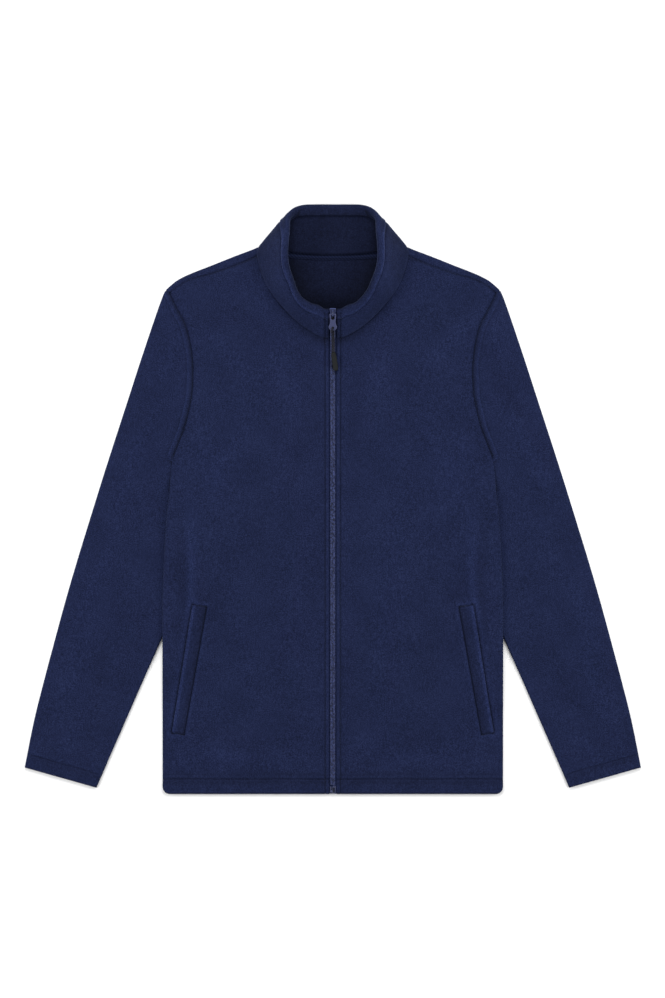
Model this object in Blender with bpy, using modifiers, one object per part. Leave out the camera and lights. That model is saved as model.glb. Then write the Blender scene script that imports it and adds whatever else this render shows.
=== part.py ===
"""Fleece zip jacket laid flat, front up, with the zip closed to the top of its stand collar.

Metres, +Z up: X runs across the body, Y from hem to collar, and the back rests on Z = 0.
The tables are in millimetres and hold the half on +X, the wearer's left; the other half is
its mirror image. "out" is measured from the centre line and "up" from the middle of the length.
"""

import math

import bmesh
import bpy
import numpy as np
from mathutils import Matrix, Vector
from mathutils.bvhtree import BVHTree

MM = 0.001

# Cloth and how its layers lie on each other
CLOTH = 2.2
GAP = 0.3
AIR = 1.2
LOW = CLOTH / 2
HIGH = CLOTH * 1.5 + AIR
MIDDLE = (LOW + HIGH) / 2
FOLD = (HIGH - LOW) / 2
EDGE = FOLD + CLOTH / 2
STACK = 2 * CLOTH + AIR

# Body
LENGTH = 777.0
HEM = -LENGTH / 2
HEM_CORNER = 9.0
CORNER_SHARE = 1 - math.sqrt(0.5)
HEM_RISE = 0.6
LIP = 5.0
SIDE_ROWS = 18
ARMHOLE_ROWS = 8
NECK_COLUMNS = 5
NECK_CLEAR = 0.7
FRONT_NECK_SPOTS = (0, 0.06, 0.15, 0.28, 0.44, 0.62, 0.81, 1)
SHOULDER_COLUMNS = 5
EDGE_ROLL = ((0.643, 0.766), (1.0, 0.36), (1.0, 0.14))  # columns: out and height in FOLDs
EDGE_COLUMNS = len(EDGE_ROLL)
ARMPIT_OPENING = 0.56

# columns: out, up
SIDE = ((224.5, HEM + HEM_CORNER), (224.6, -300), (224.6, -186), (224.4, -133), (223.3, -97.5),
        (221.5, -60.5), (218.9, -22), (215.7, 5.5), (213.2, 38.5), (210.5, 57))
ARMHOLE = ((210.5, 57), (202.6, 76.8), (196.4, 93.1), (191.3, 112.4), (186.6, 134.8),
           (184.7, 161.2), (185.1, 182.4), (188.5, 206.1), (194.2, 228.6), (202.4, 245.1),
           (209.6, 258.9), (215.6, 272.1))
SHOULDER_FOLD = ((101.4, 331.3), (106.8, 328.9), (124.5, 322.3), (141.4, 315.7), (157.7, 309.1),
                 (174.8, 302.5), (191.1, 295.9), (204.1, 289.3), (211.3, 284), (217.3, 278.7),
                 (220.6, 275.5))
SHOULDER_SEAM = ((100.6, 320.4), (122.5, 310.9), (142.3, 303.4), (162.1, 296.8), (175.3, 293.2),
                 (188.5, 289.3), (201.7, 281.8), (215.6, 272.1))
FRONT_NECK = ((LIP, 211.9), (10.3, 212.1), (18.5, 213.4), (28.8, 219.3), (47.4, 231.5),
              (66.4, 249.7), (81.6, 269.5), (92.8, 292.6), (98.7, 312.4), (100.2, 320.4))
BACK_NECK = ((0, 321.5), (25, 321.7), (50, 323.6), (75, 327), (99.6, 328.9))

# Sleeve: the inner edge runs on behind the body to the corner of its underlap, columns: out, up
CUFF_ROWS = 10
BESIDE_ROWS = 2
UNDERLAP_COLUMNS = 2
SLEEVE_COLUMNS = 5
SLEEVE_OUTER = ((406.5, -353.8), (394, -291.5), (380.8, -238.7), (366.8, -185.9), (352.4, -133.1),
                (337, -80.3), (320.8, -27.5), (304.4, 25.3), (288.5, 75))
SLEEVE_CAP = ((288.5, 75), (270.3, 130.9), (253.2, 183.7), (235.5, 236.5), (226.2, 262.9),
              (222.3, 272.4), (220.6, 275.5))
SLEEVE_INNER = ((311.8, -380.6), (296.1, -344.3), (273, -291.5), (249.9, -238.7), (226.4, -185.9),
                (203.5, -133.5), (184, -88), (170.5, -54), (165, -30))
UNDERLAP_TOP = (216.5, 12)
BESIDE_MIDDLE = (213.9, 30)
UNDERLAP_CLOSE = 0.009
LIFT = STACK + GAP
LIFT_MARGIN = 8.0
LIFT_RAMP = 56.0

# Soft folds of the front, columns: out, up, half length, half width, lean in degrees, height
FRONT_FOLDS = ((186, -70, 75, 9, 4, 1.3), (205, -60, 70, 9, 2, -0.8), (168, 60, 60, 16, 12, 0.9),
               (60, 170, 45, 14, 30, 0.8), (120, 235, 60, 18, 55, -0.7), (40, -330, 45, 20, 80, 0.6),
               (150, -335, 50, 16, 75, 0.7))

# Collar: where cloth meets cloth, columns: out, up and height at the seam, the same at the top, bulge
COLLAR = ((0, 322.0, 2.58, 0, 384.7, 4.8, 0),
          (22, 322.2, 2.58, 20, 384.7, 5.2, 0),
          (45, 323.8, 2.58, 37, 384.4, 7.0, 0),
          (66, 326.6, 2.7, 47.5, 382.4, 11.2, 0.5),
          (83.5, 328.6, 3.2, 54.3, 377.4, 17.5, 1.5),
          (95.6, 326.8, 3.7, 59.2, 368.6, 27, 2.5),
          (96.6, 315.5, 3.5, 60.8, 352, 37, 3),
          (93.4, 301.5, 3.4, 62.8, 334, 43, 3),
          (86.3, 283.5, 3.4, 63, 315.5, 45, 3),
          (74.8, 266.4, 3.4, 59.5, 297.5, 44.5, 3),
          (60.3, 249.4, 3.4, 51, 280.5, 42.5, 3),
          (42.9, 233.0, 3.4, 40.3, 265.5, 39, 3),
          (26, 221.6, 3.4, 27.5, 254.8, 35, 2.5),
          (14, 215.4, 3.4, 15.5, 250, 32.5, 2),
          (LIP, 214.0, 3.4, LIP, 248.2, 31.5, 2))
COLLAR_COLUMNS = 25
COLLAR_ROWS = 5
INNER_FRONT = 15.5
PLY = CLOTH / 2 + 0.36
RIM_BAND = 14.5

# Neck tape, columns: out, up of its middle
NECK_TAPE = ((-88, 321.6), (-58, 320.4), (-25, 318.6), (0, 318.4), (25, 318.6), (58, 320.4), (88, 321.6))
NECK_TAPE_WIDTH = 5.4
TAPE_THICK = 0.6
BODY_RISE = CLOTH + GAP + TAPE_THICK + GAP / 2

# Welt pockets, columns: out, up, from the top corner at the side round to the lower one
WELT = ((184.5, -139.7), (166.6, -142.1), (196.3, -310.8), (211.6, -307.6))
WELT_ROWS = 12
WELT_THICK = 2.0

# Zip
TAPE_REACH = 14.0
TAPE_BODY_ROWS = 9
TAPE_COLLAR_ROWS = (0, 0.2, 0.4, 0.6, 0.8, 0.985)
CHAIN_WIDTH = 6.0
CHAIN_THICK = 2.6
BOX_LENGTH = 10.0
BOX_WIDTH = 7.4
SLIDER_AT = 0.965
SLIDER_LENGTH = 9.4
SLIDER_WIDTH = 8.2
SLIDER_FOOT = 5.6
SLIDER_THICK = 3.6
BAIL_THICK = 1.5
BAIL_ARCH = ((-4.0, -0.8), (-4.3, 1.6), (-3.6, 3.1), (-2.1, 3.7), (0.4, 3.5), (2.6, 2.2), (3.6, -0.8))
HINGE_BELOW = 2.2
HINGE_RISE = 1.45
TAB_LENGTH = 24.5
TAB_THICK = 1.4
TAB_TOP = 8.6
TAB_WAIST = 7.4
TAB_END = 11.0
TAB_BAR = 1.5
TAB_WINDOW = (4.6, 7.4)
TAB_CORNER = 0.6
TAB_RING = 3.4
RING_STRAIGHT = 0.4
RING_AT = TAB_LENGTH - 1.9 - TAB_RING / 2 - RING_STRAIGHT
CORD = 2.0
GRIP_LENGTH = 25.0
GRIP_WIDTH = 7.0
GRIP_THICK = 5.0
CORD_LANE = CORD / 2 + 0.15
GRIP_FROM = (0.5, 193.8)
GRIP_TO = (4.2, 168.9)

NAVY = (0.0160, 0.0212, 0.0595)
TAPE_NAVY = (0.0200, 0.0262, 0.0700)
CHAIN_NAVY = (0.0340, 0.0440, 0.1000)
PAINTED_METAL = (0.0760, 0.0820, 0.1500)
BLACK_CORD = (0.0130, 0.0140, 0.0180)
BLACK_RUBBER = (0.0180, 0.0190, 0.0200)


def clear_scene():
    for old in list(bpy.data.objects):
        bpy.data.objects.remove(old, do_unlink=True)


def smooth_run(points):
    """A function of 0 to 1 that follows the points in a smooth curve at even speed."""
    knots = [np.array(point, float) for point in points]
    knots = [2 * knots[0] - knots[1], *knots, 2 * knots[-1] - knots[-2]]
    dense = [knots[1]]
    for a, b, c, d in zip(knots, knots[1:], knots[2:], knots[3:]):
        for t in np.linspace(0, 1, 9)[1:]:
            bend = (2 * a - 5 * b + 4 * c - d) * t**2 + (3 * b - a - 3 * c + d) * t**3
            dense.append(0.5 * (2 * b + (c - a) * t + bend))
    dense = np.array(dense)
    steps = np.linalg.norm(np.diff(dense, axis=0), axis=1)
    travelled = np.concatenate([[0], np.cumsum(steps)])

    def at(t):
        return np.array([np.interp(t * travelled[-1], travelled, axis) for axis in dense.T])

    return at


def samples(points, count):
    run = smooth_run(points)
    return [run(k / count) for k in range(count + 1)]


def sideways(line, by):
    """The line's points moved by this much to its left, seen from above."""
    moved = []
    for k, point in enumerate(line):
        way = line[min(k + 1, len(line) - 1)] - line[max(k - 1, 0)]
        moved.append(point + by * np.array((-way[1], way[0])) / np.linalg.norm(way))
    return moved


def filled(left, right, bottom, top):
    """Rows of points that fill the outline made by four sampled edges."""
    rows, columns = len(left) - 1, len(bottom) - 1
    grid = []
    for i in range(rows + 1):
        v = i / rows
        row = []
        for j in range(columns + 1):
            u = j / columns
            across = (1 - u) * left[i] + u * right[i]
            along = (1 - v) * bottom[j] + v * top[j]
            corners = (1 - v) * ((1 - u) * left[0] + u * right[0])
            corners = corners + v * ((1 - u) * left[-1] + u * right[-1])
            row.append(across + along - corners)
        grid.append(row)
    return grid


def eased(t):
    t = min(max(t, 0.0), 1.0)
    return t * t * (3 - 2 * t)


def finish(name, data, colour, roughness, metallic=0.0):
    material = bpy.data.materials.new(name + "_finish")
    material.use_nodes = True
    shader = material.node_tree.nodes["Principled BSDF"]
    shader.inputs["Base Color"].default_value = (*colour, 1)
    shader.inputs["Roughness"].default_value = roughness
    shader.inputs["Metallic"].default_value = metallic
    data.materials.append(material)
    obj = bpy.data.objects.new(name, data)
    bpy.data.collections["fleece_zip_jacket"].objects.link(obj)
    return obj


def sheet(name, across, along, place, thickness, colour, missing=None, even=True):
    """A wall of cloth about the grid of points place(column, row), given in millimetres.

    A wall that isn't even follows sharp bends in thin triangles and is a little thinner there.
    """
    shell = bmesh.new()
    bmesh.ops.create_grid(shell, x_segments=across, y_segments=along, size=1)
    for vertex in shell.verts:
        column = round((vertex.co.x + 1) / 2 * across)
        row = round((vertex.co.y + 1) / 2 * along)
        vertex.co = Vector((column, row, 0))
    if missing:
        empty = [f for f in shell.faces if missing(*f.calc_center_median().xy)]
        bmesh.ops.delete(shell, geom=empty, context="FACES")
    if not even:
        bmesh.ops.triangulate(shell, faces=shell.faces, quad_method="FIXED")
    for vertex in shell.verts:
        vertex.co = Vector(place(round(vertex.co.x), round(vertex.co.y))) * MM
    bmesh.ops.remove_doubles(shell, verts=shell.verts, dist=1e-6)
    bmesh.ops.recalc_face_normals(shell, faces=shell.faces)
    mesh = bpy.data.meshes.new(name)
    shell.to_mesh(mesh)
    shell.free()
    mesh.shade_smooth()
    obj = finish(name, mesh, colour, 0.9)
    wall = obj.modifiers.new("Wall", "SOLIDIFY")
    wall.thickness = thickness * MM
    wall.offset = 0
    wall.use_even_offset = even
    return obj


def evaluated_mesh(obj):
    graph = bpy.context.evaluated_depsgraph_get()
    return bpy.data.meshes.new_from_object(obj.evaluated_get(graph))


# ---- the lift of the body where it lies over the sleeve's underlap

def from_underlap(out, up):
    """How far a place in the half plan lies from the sleeve's hidden underlap."""
    inner = [np.array(p) for p in SLEEVE_INNER[3:]]
    ring = [*inner, np.array(UNDERLAP_TOP), np.array((300, 12)), np.array((300, -238.7))]
    here = np.array((out, up))
    inside = False
    nearest = 1e9
    for a, b in zip(ring, ring[1:] + ring[:1]):
        share = np.clip(np.dot(here - a, b - a) / np.dot(b - a, b - a), 0, 1)
        nearest = min(nearest, np.linalg.norm(here - a - share * (b - a)))
        if (a[1] > up) != (b[1] > up):
            inside ^= out < a[0] + (up - a[1]) / (b[1] - a[1]) * (b[0] - a[0])
    return 0.0 if inside else nearest


def lift(out, up):
    beyond = from_underlap(abs(out), up) - LIFT_MARGIN
    near_armpit = eased((up - UNDERLAP_TOP[1]) / (SIDE[-1][1] - UNDERLAP_TOP[1]))
    return LIFT * (1 - eased(beyond / LIFT_RAMP)) * (1 - near_armpit)


def front_folds(out, up):
    """Soft ridges and troughs of the front, faded out where it meets its neighbours."""
    rise = 0.0
    for x, y, half_length, half_width, lean, height in FRONT_FOLDS:
        c, s = math.cos(math.radians(lean)), math.sin(math.radians(lean))
        dx, dy = abs(out) - x, up - y
        along, across = (dx * s + dy * c) / half_length, (dx * c - dy * s) / half_width
        rise += height * math.exp(-along**2 - across**2)
    return rise


# ---- the body's panels

def side_line():
    corner = np.array((SIDE[0][0] - HEM_CORNER * CORNER_SHARE, HEM + HEM_CORNER * CORNER_SHARE))
    side = samples(SIDE, SIDE_ROWS - 1)
    armhole = samples(ARMHOLE, ARMHOLE_ROWS)
    return [corner, *side, *armhole[1:]]


ROWS = SIDE_ROWS + ARMHOLE_ROWS


def hem_line(start, end, columns):
    """Hem points from the centre out, closer together towards the side."""
    spots = [1 - (1 - j / columns) ** 1.3 for j in range(columns)]
    return [np.array((start + (end[0] - start) * t, HEM)) for t in spots] + [end]


def toward_tip(points, count):
    """Samples of a shoulder line, the last of them short of its end by the edge columns."""
    run = smooth_run(points)
    whole = np.linalg.norm(np.array(points[-1]) - np.array(points[0]))
    short, end = 1 - EDGE / whole, 1 - GAP / 2 / whole
    flat = [run(short * k / count) for k in range(count + 1)]
    edge = [run(short + (end - short) * k / EDGE_COLUMNS) for k in range(1, EDGE_COLUMNS + 1)]
    return flat, edge


def edge_point(flat, seam, row, column, upper):
    """A point of the edge columns: rolled round the side seam, or flat beside the armhole."""
    if row < SIDE_ROWS:
        reach, stand = EDGE_ROLL[column - 1]
        opening = ARMPIT_OPENING * eased((row - SIDE_ROWS + 3) / 3)
        reach, drop = reach * FOLD, (1 - stand) * (1 - opening) * FOLD
    else:
        reach, drop = column / EDGE_COLUMNS * (EDGE - GAP / 2), 0
    plan = flat + (seam - flat) / np.linalg.norm(seam - flat) * reach
    height = HIGH - drop if upper else LOW + drop
    return (*plan, height + lift(*plan))


def front_panel(name, side):
    seam = side_line()
    flat = sideways(seam, EDGE)
    shoulder, shoulder_edge = toward_tip(SHOULDER_SEAM, SHOULDER_COLUMNS)
    shoulder = sideways(shoulder + shoulder_edge, -GAP / 2)
    neck_run = smooth_run(FRONT_NECK)
    neck = sideways([neck_run(t) for t in FRONT_NECK_SPOTS], -NECK_CLEAR)
    neck[0] = np.array((LIP, neck[0][1]))
    top = neck[:-1] + shoulder[: SHOULDER_COLUMNS + 1]
    columns = len(top) - 1
    centre = [np.array((LIP, HEM + (top[0][1] - HEM) * i / ROWS)) for i in range(ROWS + 1)]
    flat[0] = np.array((seam[0][0] - EDGE, HEM + HEM_RISE))
    flat[-1] = top[-1]
    plan = filled(centre, flat, hem_line(LIP, flat[0], columns), top)

    def place(column, row):
        if column <= columns:
            x, y = plan[row][column]
            from_edges = min(column, columns - column, row, ROWS - row)
            folds = front_folds(x, y) * eased(from_edges / 2)
            point = (x, y, HIGH + lift(x, y) + folds)
        elif row == ROWS:
            point = (*shoulder[column - len(neck) + 1], HIGH)
        else:
            point = edge_point(flat[row], seam[row], row, column - columns, True)
        return (side * point[0], point[1], point[2])

    return sheet(name, columns + EDGE_COLUMNS, ROWS, place, CLOTH, NAVY)


def back_panel():
    """The lower panel, turned over the shoulders as far as the forward shoulder seams."""
    seam = side_line()
    flat = sideways(seam, EDGE)
    fold, fold_edge = toward_tip(SHOULDER_FOLD, SHOULDER_COLUMNS)
    outline = fold + fold_edge
    inward = [m - p for m, p in zip(sideways(outline, -1), outline)]
    tip = np.array(ARMHOLE[-1]) - np.array(SHOULDER_FOLD[-1])
    inset = np.linalg.norm(tip)
    for k in range(1, EDGE_COLUMNS + 1):
        mixed = inward[-1 - EDGE_COLUMNS] * (1 - k / EDGE_COLUMNS) + tip / inset * k / EDGE_COLUMNS
        inward[k - 1 - EDGE_COLUMNS] = mixed / np.linalg.norm(mixed)
    over, over_edge = toward_tip(SHOULDER_SEAM, SHOULDER_COLUMNS)
    over = sideways(over + over_edge, GAP / 2)
    neck = sideways(samples(BACK_NECK, NECK_COLUMNS), -GAP / 2)
    neck[0] = np.array((0, neck[0][1]))
    below_fold = [p + n * inset for p, n in zip(outline, inward)]
    top = neck[:-1] + below_fold[: SHOULDER_COLUMNS + 1]
    columns = len(top) - 1
    centre = [np.array((0, HEM + (top[0][1] - HEM) * i / ROWS)) for i in range(ROWS + 1)]
    flat[0] = np.array((seam[0][0] - EDGE, HEM + HEM_RISE))
    flat[-1] = top[-1]
    plan = filled(centre, flat, hem_line(0, flat[0], columns), top)
    turns = (0, 45, 90, 135, 180)
    half = columns + EDGE_COLUMNS

    def place(column, row):
        side, column = (-1 if column < half else 1), abs(column - half)
        along = column - NECK_COLUMNS
        if row > ROWS + len(turns):
            point = (*over[along], HIGH)
        elif row > ROWS:
            turn = math.radians(turns[row - ROWS - 1])
            edge = outline[along] + inward[along] * (EDGE - FOLD * math.sin(turn))
            point = (*edge, MIDDLE - FOLD * math.cos(turn))
        elif column <= columns:
            x, y = plan[row][column]
            point = (x, y, LOW + lift(x, y))
        elif row == ROWS:
            point = (*below_fold[along], LOW)
        else:
            point = edge_point(flat[row], seam[row], row, column - columns, False)
        return (side * point[0], point[1], point[2])

    def missing(column, row):
        return row > ROWS and abs(column - half) < NECK_COLUMNS

    return sheet("back", 2 * half, ROWS + len(turns) + 1, place, CLOTH, NAVY, missing)


# ---- sleeves

def sleeve(name, side):
    """A folded tube up to the underlap, then a cap folded at its outer edge with an open mouth."""
    outer_run, inner_run = smooth_run(SLEEVE_OUTER), smooth_run(SLEEVE_INNER)
    spots = [k / (CUFF_ROWS - 1) for k in range(CUFF_ROWS)]
    spots.insert(CUFF_ROWS - 1, 1 - UNDERLAP_CLOSE)
    outer = [outer_run(t) for t in spots]
    inner = [inner_run(t) for t in spots]
    beside = smooth_run((UNDERLAP_TOP, BESIDE_MIDDLE, SIDE[-1]))
    beside = sideways([beside(k / BESIDE_ROWS) for k in range(BESIDE_ROWS + 1)], -GAP * 1.5)
    armhole = sideways(samples(ARMHOLE, ARMHOLE_ROWS), -GAP / 2)
    mouth = beside + armhole[1:]
    cap = samples(SLEEVE_CAP, len(mouth) - 1)
    tip_way = np.array(SHOULDER_FOLD[-1]) - np.array(ARMHOLE[-1])
    tip_way = tip_way / np.linalg.norm(tip_way)
    short_of_tip = 0.8 * GAP * np.array((tip_way[1], -tip_way[0]))
    mouth[-1] = np.array(ARMHOLE[-1]) + short_of_tip
    cap[-1] = np.array(SHOULDER_FOLD[-1]) + short_of_tip
    edge = outer + cap[1:]
    in_from_edge = [m - p for m, p in zip(sideways(edge, 1), edge)]
    in_from_edge[-1] = -tip_way
    in_from_inner = [m - p for m, p in zip(sideways(inner, -1), inner)]
    rows = len(edge) - 1
    layer = SLEEVE_COLUMNS + 1
    ring = 2 * layer + 6
    share_at_mouth = np.linalg.norm(np.array(UNDERLAP_TOP) - inner[-1])
    share_at_mouth = share_at_mouth / np.linalg.norm(outer[-1] - inner[-1])

    def across(step, row):
        """Plan of the flat part: step 0 at the inner edge, SLEEVE_COLUMNS at the outer one."""
        end = edge[row] + in_from_edge[row] * EDGE
        if row > CUFF_ROWS:
            start = mouth[row - CUFF_ROWS]
            share = (step - UNDERLAP_COLUMNS) / (SLEEVE_COLUMNS - UNDERLAP_COLUMNS)
            return start + (end - start) * share
        start = inner[row] + in_from_inner[row] * EDGE
        if step <= UNDERLAP_COLUMNS:
            share = share_at_mouth * step / UNDERLAP_COLUMNS
        else:
            share = (step - UNDERLAP_COLUMNS) / (SLEEVE_COLUMNS - UNDERLAP_COLUMNS)
            share = share_at_mouth + (1 - share_at_mouth) * share
        point = start + (end - start) * share
        if row == CUFF_ROWS and step == UNDERLAP_COLUMNS:
            point = mouth[0]
        return point

    def place(column, row):
        # round the ring: inner edge, top layer, outer edge, bottom layer, inner edge
        upper = 2 * column <= ring
        turned = column if upper else ring - column
        if turned <= 1:
            turn = math.radians(90 - 45 * turned)
            row_in = min(row, CUFF_ROWS)
            plan = inner[row_in] + in_from_inner[row_in] * (EDGE - FOLD * math.sin(turn))
            height = FOLD * math.cos(turn)
        elif turned <= 1 + layer:
            plan = across(turned - 2, row)
            height = FOLD
        else:
            turn = math.radians(45 * (turned - 1 - layer))
            plan = edge[row] + in_from_edge[row] * (EDGE - FOLD * math.sin(turn))
            height = FOLD * math.cos(turn)
        if row == CUFF_ROWS and turned < 2 + UNDERLAP_COLUMNS:
            height = 0
        z = MIDDLE + height if upper else MIDDLE - height
        return (side * plan[0], plan[1], z)

    def missing(column, row):
        return row > CUFF_ROWS and min(column, ring - column) < 2 + UNDERLAP_COLUMNS

    return sheet(name, ring, rows, place, CLOTH, NAVY, missing, even=False)


# ---- collar

collar_run = smooth_run(COLLAR)


def collar_base_top(s):
    """Seam point, top point and bulge at -1 to 1 round the collar, 0 at the centre back."""
    row = collar_run(abs(s))
    way = -1 if s < 0 else 1
    return row[:3] * (way, 1, 1), row[3:6] * (way, 1, 1), row[6]


def chord_out(s):
    step = 0.004
    low, high = max(s - step, -1), min(s + step, 1)
    base, top, _ = collar_base_top(s)
    before, after = collar_base_top(low), collar_base_top(high)
    round_way = (after[0] + after[1] - before[0] - before[1]) / 2
    out = -np.cross(round_way, top - base)
    return out / np.linalg.norm(out)


def collar_point(s, v):
    base, top, bulge = collar_base_top(s)
    return base + (top - base) * v + chord_out(s) * bulge * 4 * v * (1 - v)


def collar_frame(s, v):
    """The point between the collar's two layers, the way up the collar and the way out of it."""
    low, high = max(s - 0.01, -1), min(s + 0.01, 1)
    up = collar_point(s, v + 0.01) - collar_point(s, v - 0.01)
    out = -np.cross(collar_point(high, v) - collar_point(low, v), up)
    return collar_point(s, v), up / np.linalg.norm(up), out / np.linalg.norm(out)


def collar_height(s):
    base, top, _ = collar_base_top(s)
    return np.linalg.norm(top - base)


def collar_spots():
    """Places round half the collar, centre back to centre front, shared by its layers."""
    reach = next(s for s in np.linspace(1, 0.8, 201) if collar_base_top(s)[0][0] > INNER_FRONT)
    count = COLLAR_COLUMNS - 1
    return [reach * k / count for k in range(count + 1)] + [1.0]


def collar_outer():
    """The outer layer, turned over the top edge and a band's width down the inside."""
    turns = (45, 90, 135)
    hang = RIM_BAND - 2 * PLY - CLOTH / 2
    spots = collar_spots()

    def place(column, row):
        column -= COLLAR_COLUMNS
        s = spots[abs(column)] * (-1 if column < 0 else 1)
        if row <= COLLAR_ROWS:
            point, _, out = collar_frame(s, row / COLLAR_ROWS)
            return point + out * PLY
        point, up, out = collar_frame(s, 1)
        if row <= COLLAR_ROWS + len(turns):
            turn = math.radians(turns[row - COLLAR_ROWS - 1])
            return point + out * PLY * (2 * math.cos(turn) - 1) + up * 2 * PLY * math.sin(turn)
        down = (row - COLLAR_ROWS - len(turns) - 1) / 2 * hang
        point, _, out = collar_frame(s, 1 - down / collar_height(s))
        return point - out * 3 * PLY

    rows = COLLAR_ROWS + len(turns) + 3
    return sheet("collar_outer", 2 * COLLAR_COLUMNS, rows, place, CLOTH, NAVY, even=False)


def collar_inner():
    spots = collar_spots()
    columns = COLLAR_COLUMNS - 1

    def place(column, row):
        column -= columns
        s = spots[abs(column)] * (-1 if column < 0 else 1)
        foot = 0.02 + 0.07 * eased((abs(s) - 0.2) / 0.15)
        head = 1 - 0.5 / collar_height(s)
        point, _, out = collar_frame(s, min(max(row / COLLAR_ROWS, foot), head))
        return point - out * PLY

    return sheet("collar_inner", 2 * columns, COLLAR_ROWS, place, CLOTH, NAVY, even=False)


def neck_tape():
    line = samples(NECK_TAPE, 16)
    edges = [sideways(line, NECK_TAPE_WIDTH / 2 * k) for k in (-1, 1)]
    height = CLOTH + GAP + TAPE_THICK / 2
    return sheet("neck_tape", 16, 1, lambda column, row: (*edges[row][column], height),
                 TAPE_THICK, TAPE_NAVY)


# ---- pockets

def pocket_welt(name, side, panel):
    """A narrow doubled strip sewn over the pocket's mouth, on the panel's own surface."""
    top = evaluated_mesh(panel)
    probe = bmesh.new()
    probe.from_mesh(top)
    surface = BVHTree.FromBMesh(probe)
    outer_top, inner_top, inner_foot, outer_foot = (np.array(p) for p in WELT)
    stand = GAP + 0.1 + WELT_THICK / 2

    def place(column, row):
        t = row / WELT_ROWS
        outer = outer_top + (outer_foot - outer_top) * t
        inner = inner_top + (inner_foot - inner_top) * t
        x, y = outer + (inner - outer) * column / 2
        ray = Vector((side * x, y, 100)) * MM
        height = surface.ray_cast(ray, Vector((0, 0, -1)))[0].z / MM
        return (side * x, y, height + stand)

    made = sheet(name, 2, WELT_ROWS, place, WELT_THICK, NAVY)
    probe.free()
    bpy.data.meshes.remove(top)
    return made


# ---- zip

def zip_line():
    """Where the tape meets the cloth at the centre front, hem to collar top: along and height."""
    line = [np.array((y, BODY_RISE)) for y in np.linspace(HEM, FRONT_NECK[0][1] - GAP, TAPE_BODY_ROWS)]
    return line + [collar_point(1, v)[1:] for v in TAPE_COLLAR_ROWS]


def zip_tape(name, side):
    """Flat on the body, then on the inside of the collar's outer layer."""
    centre = sideways(zip_line(), -GAP / 2 - TAPE_THICK / 2)
    wide = collar_spots()[-2]
    share = (TAPE_REACH - LIP) / (collar_base_top(wide)[0][0] - LIP)

    def place(column, row):
        if column < 2:
            return (side * (GAP / 2, LIP)[column], *centre[row])
        if row < TAPE_BODY_ROWS:
            return (side * TAPE_REACH, *centre[row])
        v = TAPE_COLLAR_ROWS[row - TAPE_BODY_ROWS]
        point, _, out = collar_frame(wide, v)
        point = point - out * (GAP / 2 + TAPE_THICK / 2)
        mixed = np.array((LIP, *centre[row])) * (1 - share) + point * share
        return (side * mixed[0], mixed[1], mixed[2])

    return sheet(name, 2, len(centre) - 1, place, TAPE_THICK, TAPE_NAVY)


def zip_chain(slider_foot):
    line = sideways(zip_line(), GAP / 2 + CHAIN_THICK / 2)
    start = HEM + BOX_LENGTH + GAP
    below = [p for k, p in enumerate(line) if 0 < k != TAPE_BODY_ROWS and p[0] < slider_foot[0] - 2]
    line = [np.array((start, line[0][1])), *below, slider_foot]

    def place(column, row):
        return (CHAIN_WIDTH * (column - 0.5), *line[row])

    return sheet("zip_chain", 1, len(line) - 1, place, CHAIN_THICK, CHAIN_NAVY)


def rounded_block(name, size, centre, corner, colour, roughness, metallic=0.0):
    block = bmesh.new()
    bmesh.ops.create_cube(block, size=1)
    bmesh.ops.scale(block, vec=Vector(size) * MM, verts=block.verts)
    bmesh.ops.translate(block, vec=Vector(centre) * MM, verts=block.verts)
    mesh = bpy.data.meshes.new(name)
    block.to_mesh(mesh)
    block.free()
    obj = finish(name, mesh, colour, roughness, metallic)
    bevel = obj.modifiers.new("Corners", "BEVEL")
    bevel.width = corner * MM
    bevel.segments = 2
    return obj


def flat_plate(name, outlines, thick, corner):
    """A plate from closed plan outlines, the first its edge and the others its holes."""
    curve = bpy.data.curves.new(name, "CURVE")
    curve.dimensions = "2D"
    curve.fill_mode = "BOTH"
    curve.extrude = (thick / 2 - corner) * MM
    curve.bevel_depth = corner * MM
    curve.offset = -corner * MM
    curve.bevel_resolution = 0
    for outline in outlines:
        spline = curve.splines.new("POLY")
        spline.points.add(len(outline) - 1)
        for spot, (x, y) in zip(spline.points, outline):
            spot.co = (x * MM, y * MM, 0, 1)
        spline.use_cyclic_u = True
    loose = bpy.data.objects.new(name, curve)
    bpy.data.collections["fleece_zip_jacket"].objects.link(loose)
    bpy.context.view_layer.update()
    mesh = evaluated_mesh(loose)
    bpy.data.objects.remove(loose)
    whole = bmesh.new()
    whole.from_mesh(mesh)
    bmesh.ops.remove_doubles(whole, verts=whole.verts, dist=1e-6)
    bmesh.ops.recalc_face_normals(whole, faces=whole.faces)
    whole.to_mesh(mesh)
    whole.free()
    mesh.name = name
    return mesh


def tube(name, points, width, colour, roughness):
    curve = bpy.data.curves.new(name, "CURVE")
    curve.dimensions = "3D"
    curve.bevel_depth = width / 2 * MM
    curve.bevel_resolution = 2
    curve.use_fill_caps = True
    spline = curve.splines.new("POLY")
    spline.points.add(len(points) - 1)
    for spot, point in zip(spline.points, points):
        spot.co = (*(Vector(point) * MM), 1)
    return finish(name, curve, colour, roughness)


def slider_frame():
    """Foot of the slider on the zip line, the way up the collar and the way out of it."""
    point, up, out = collar_frame(1, SLIDER_AT)
    return np.array((0, *point[1:])), np.array((0, *up[1:])), np.array((0, *out[1:]))


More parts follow.
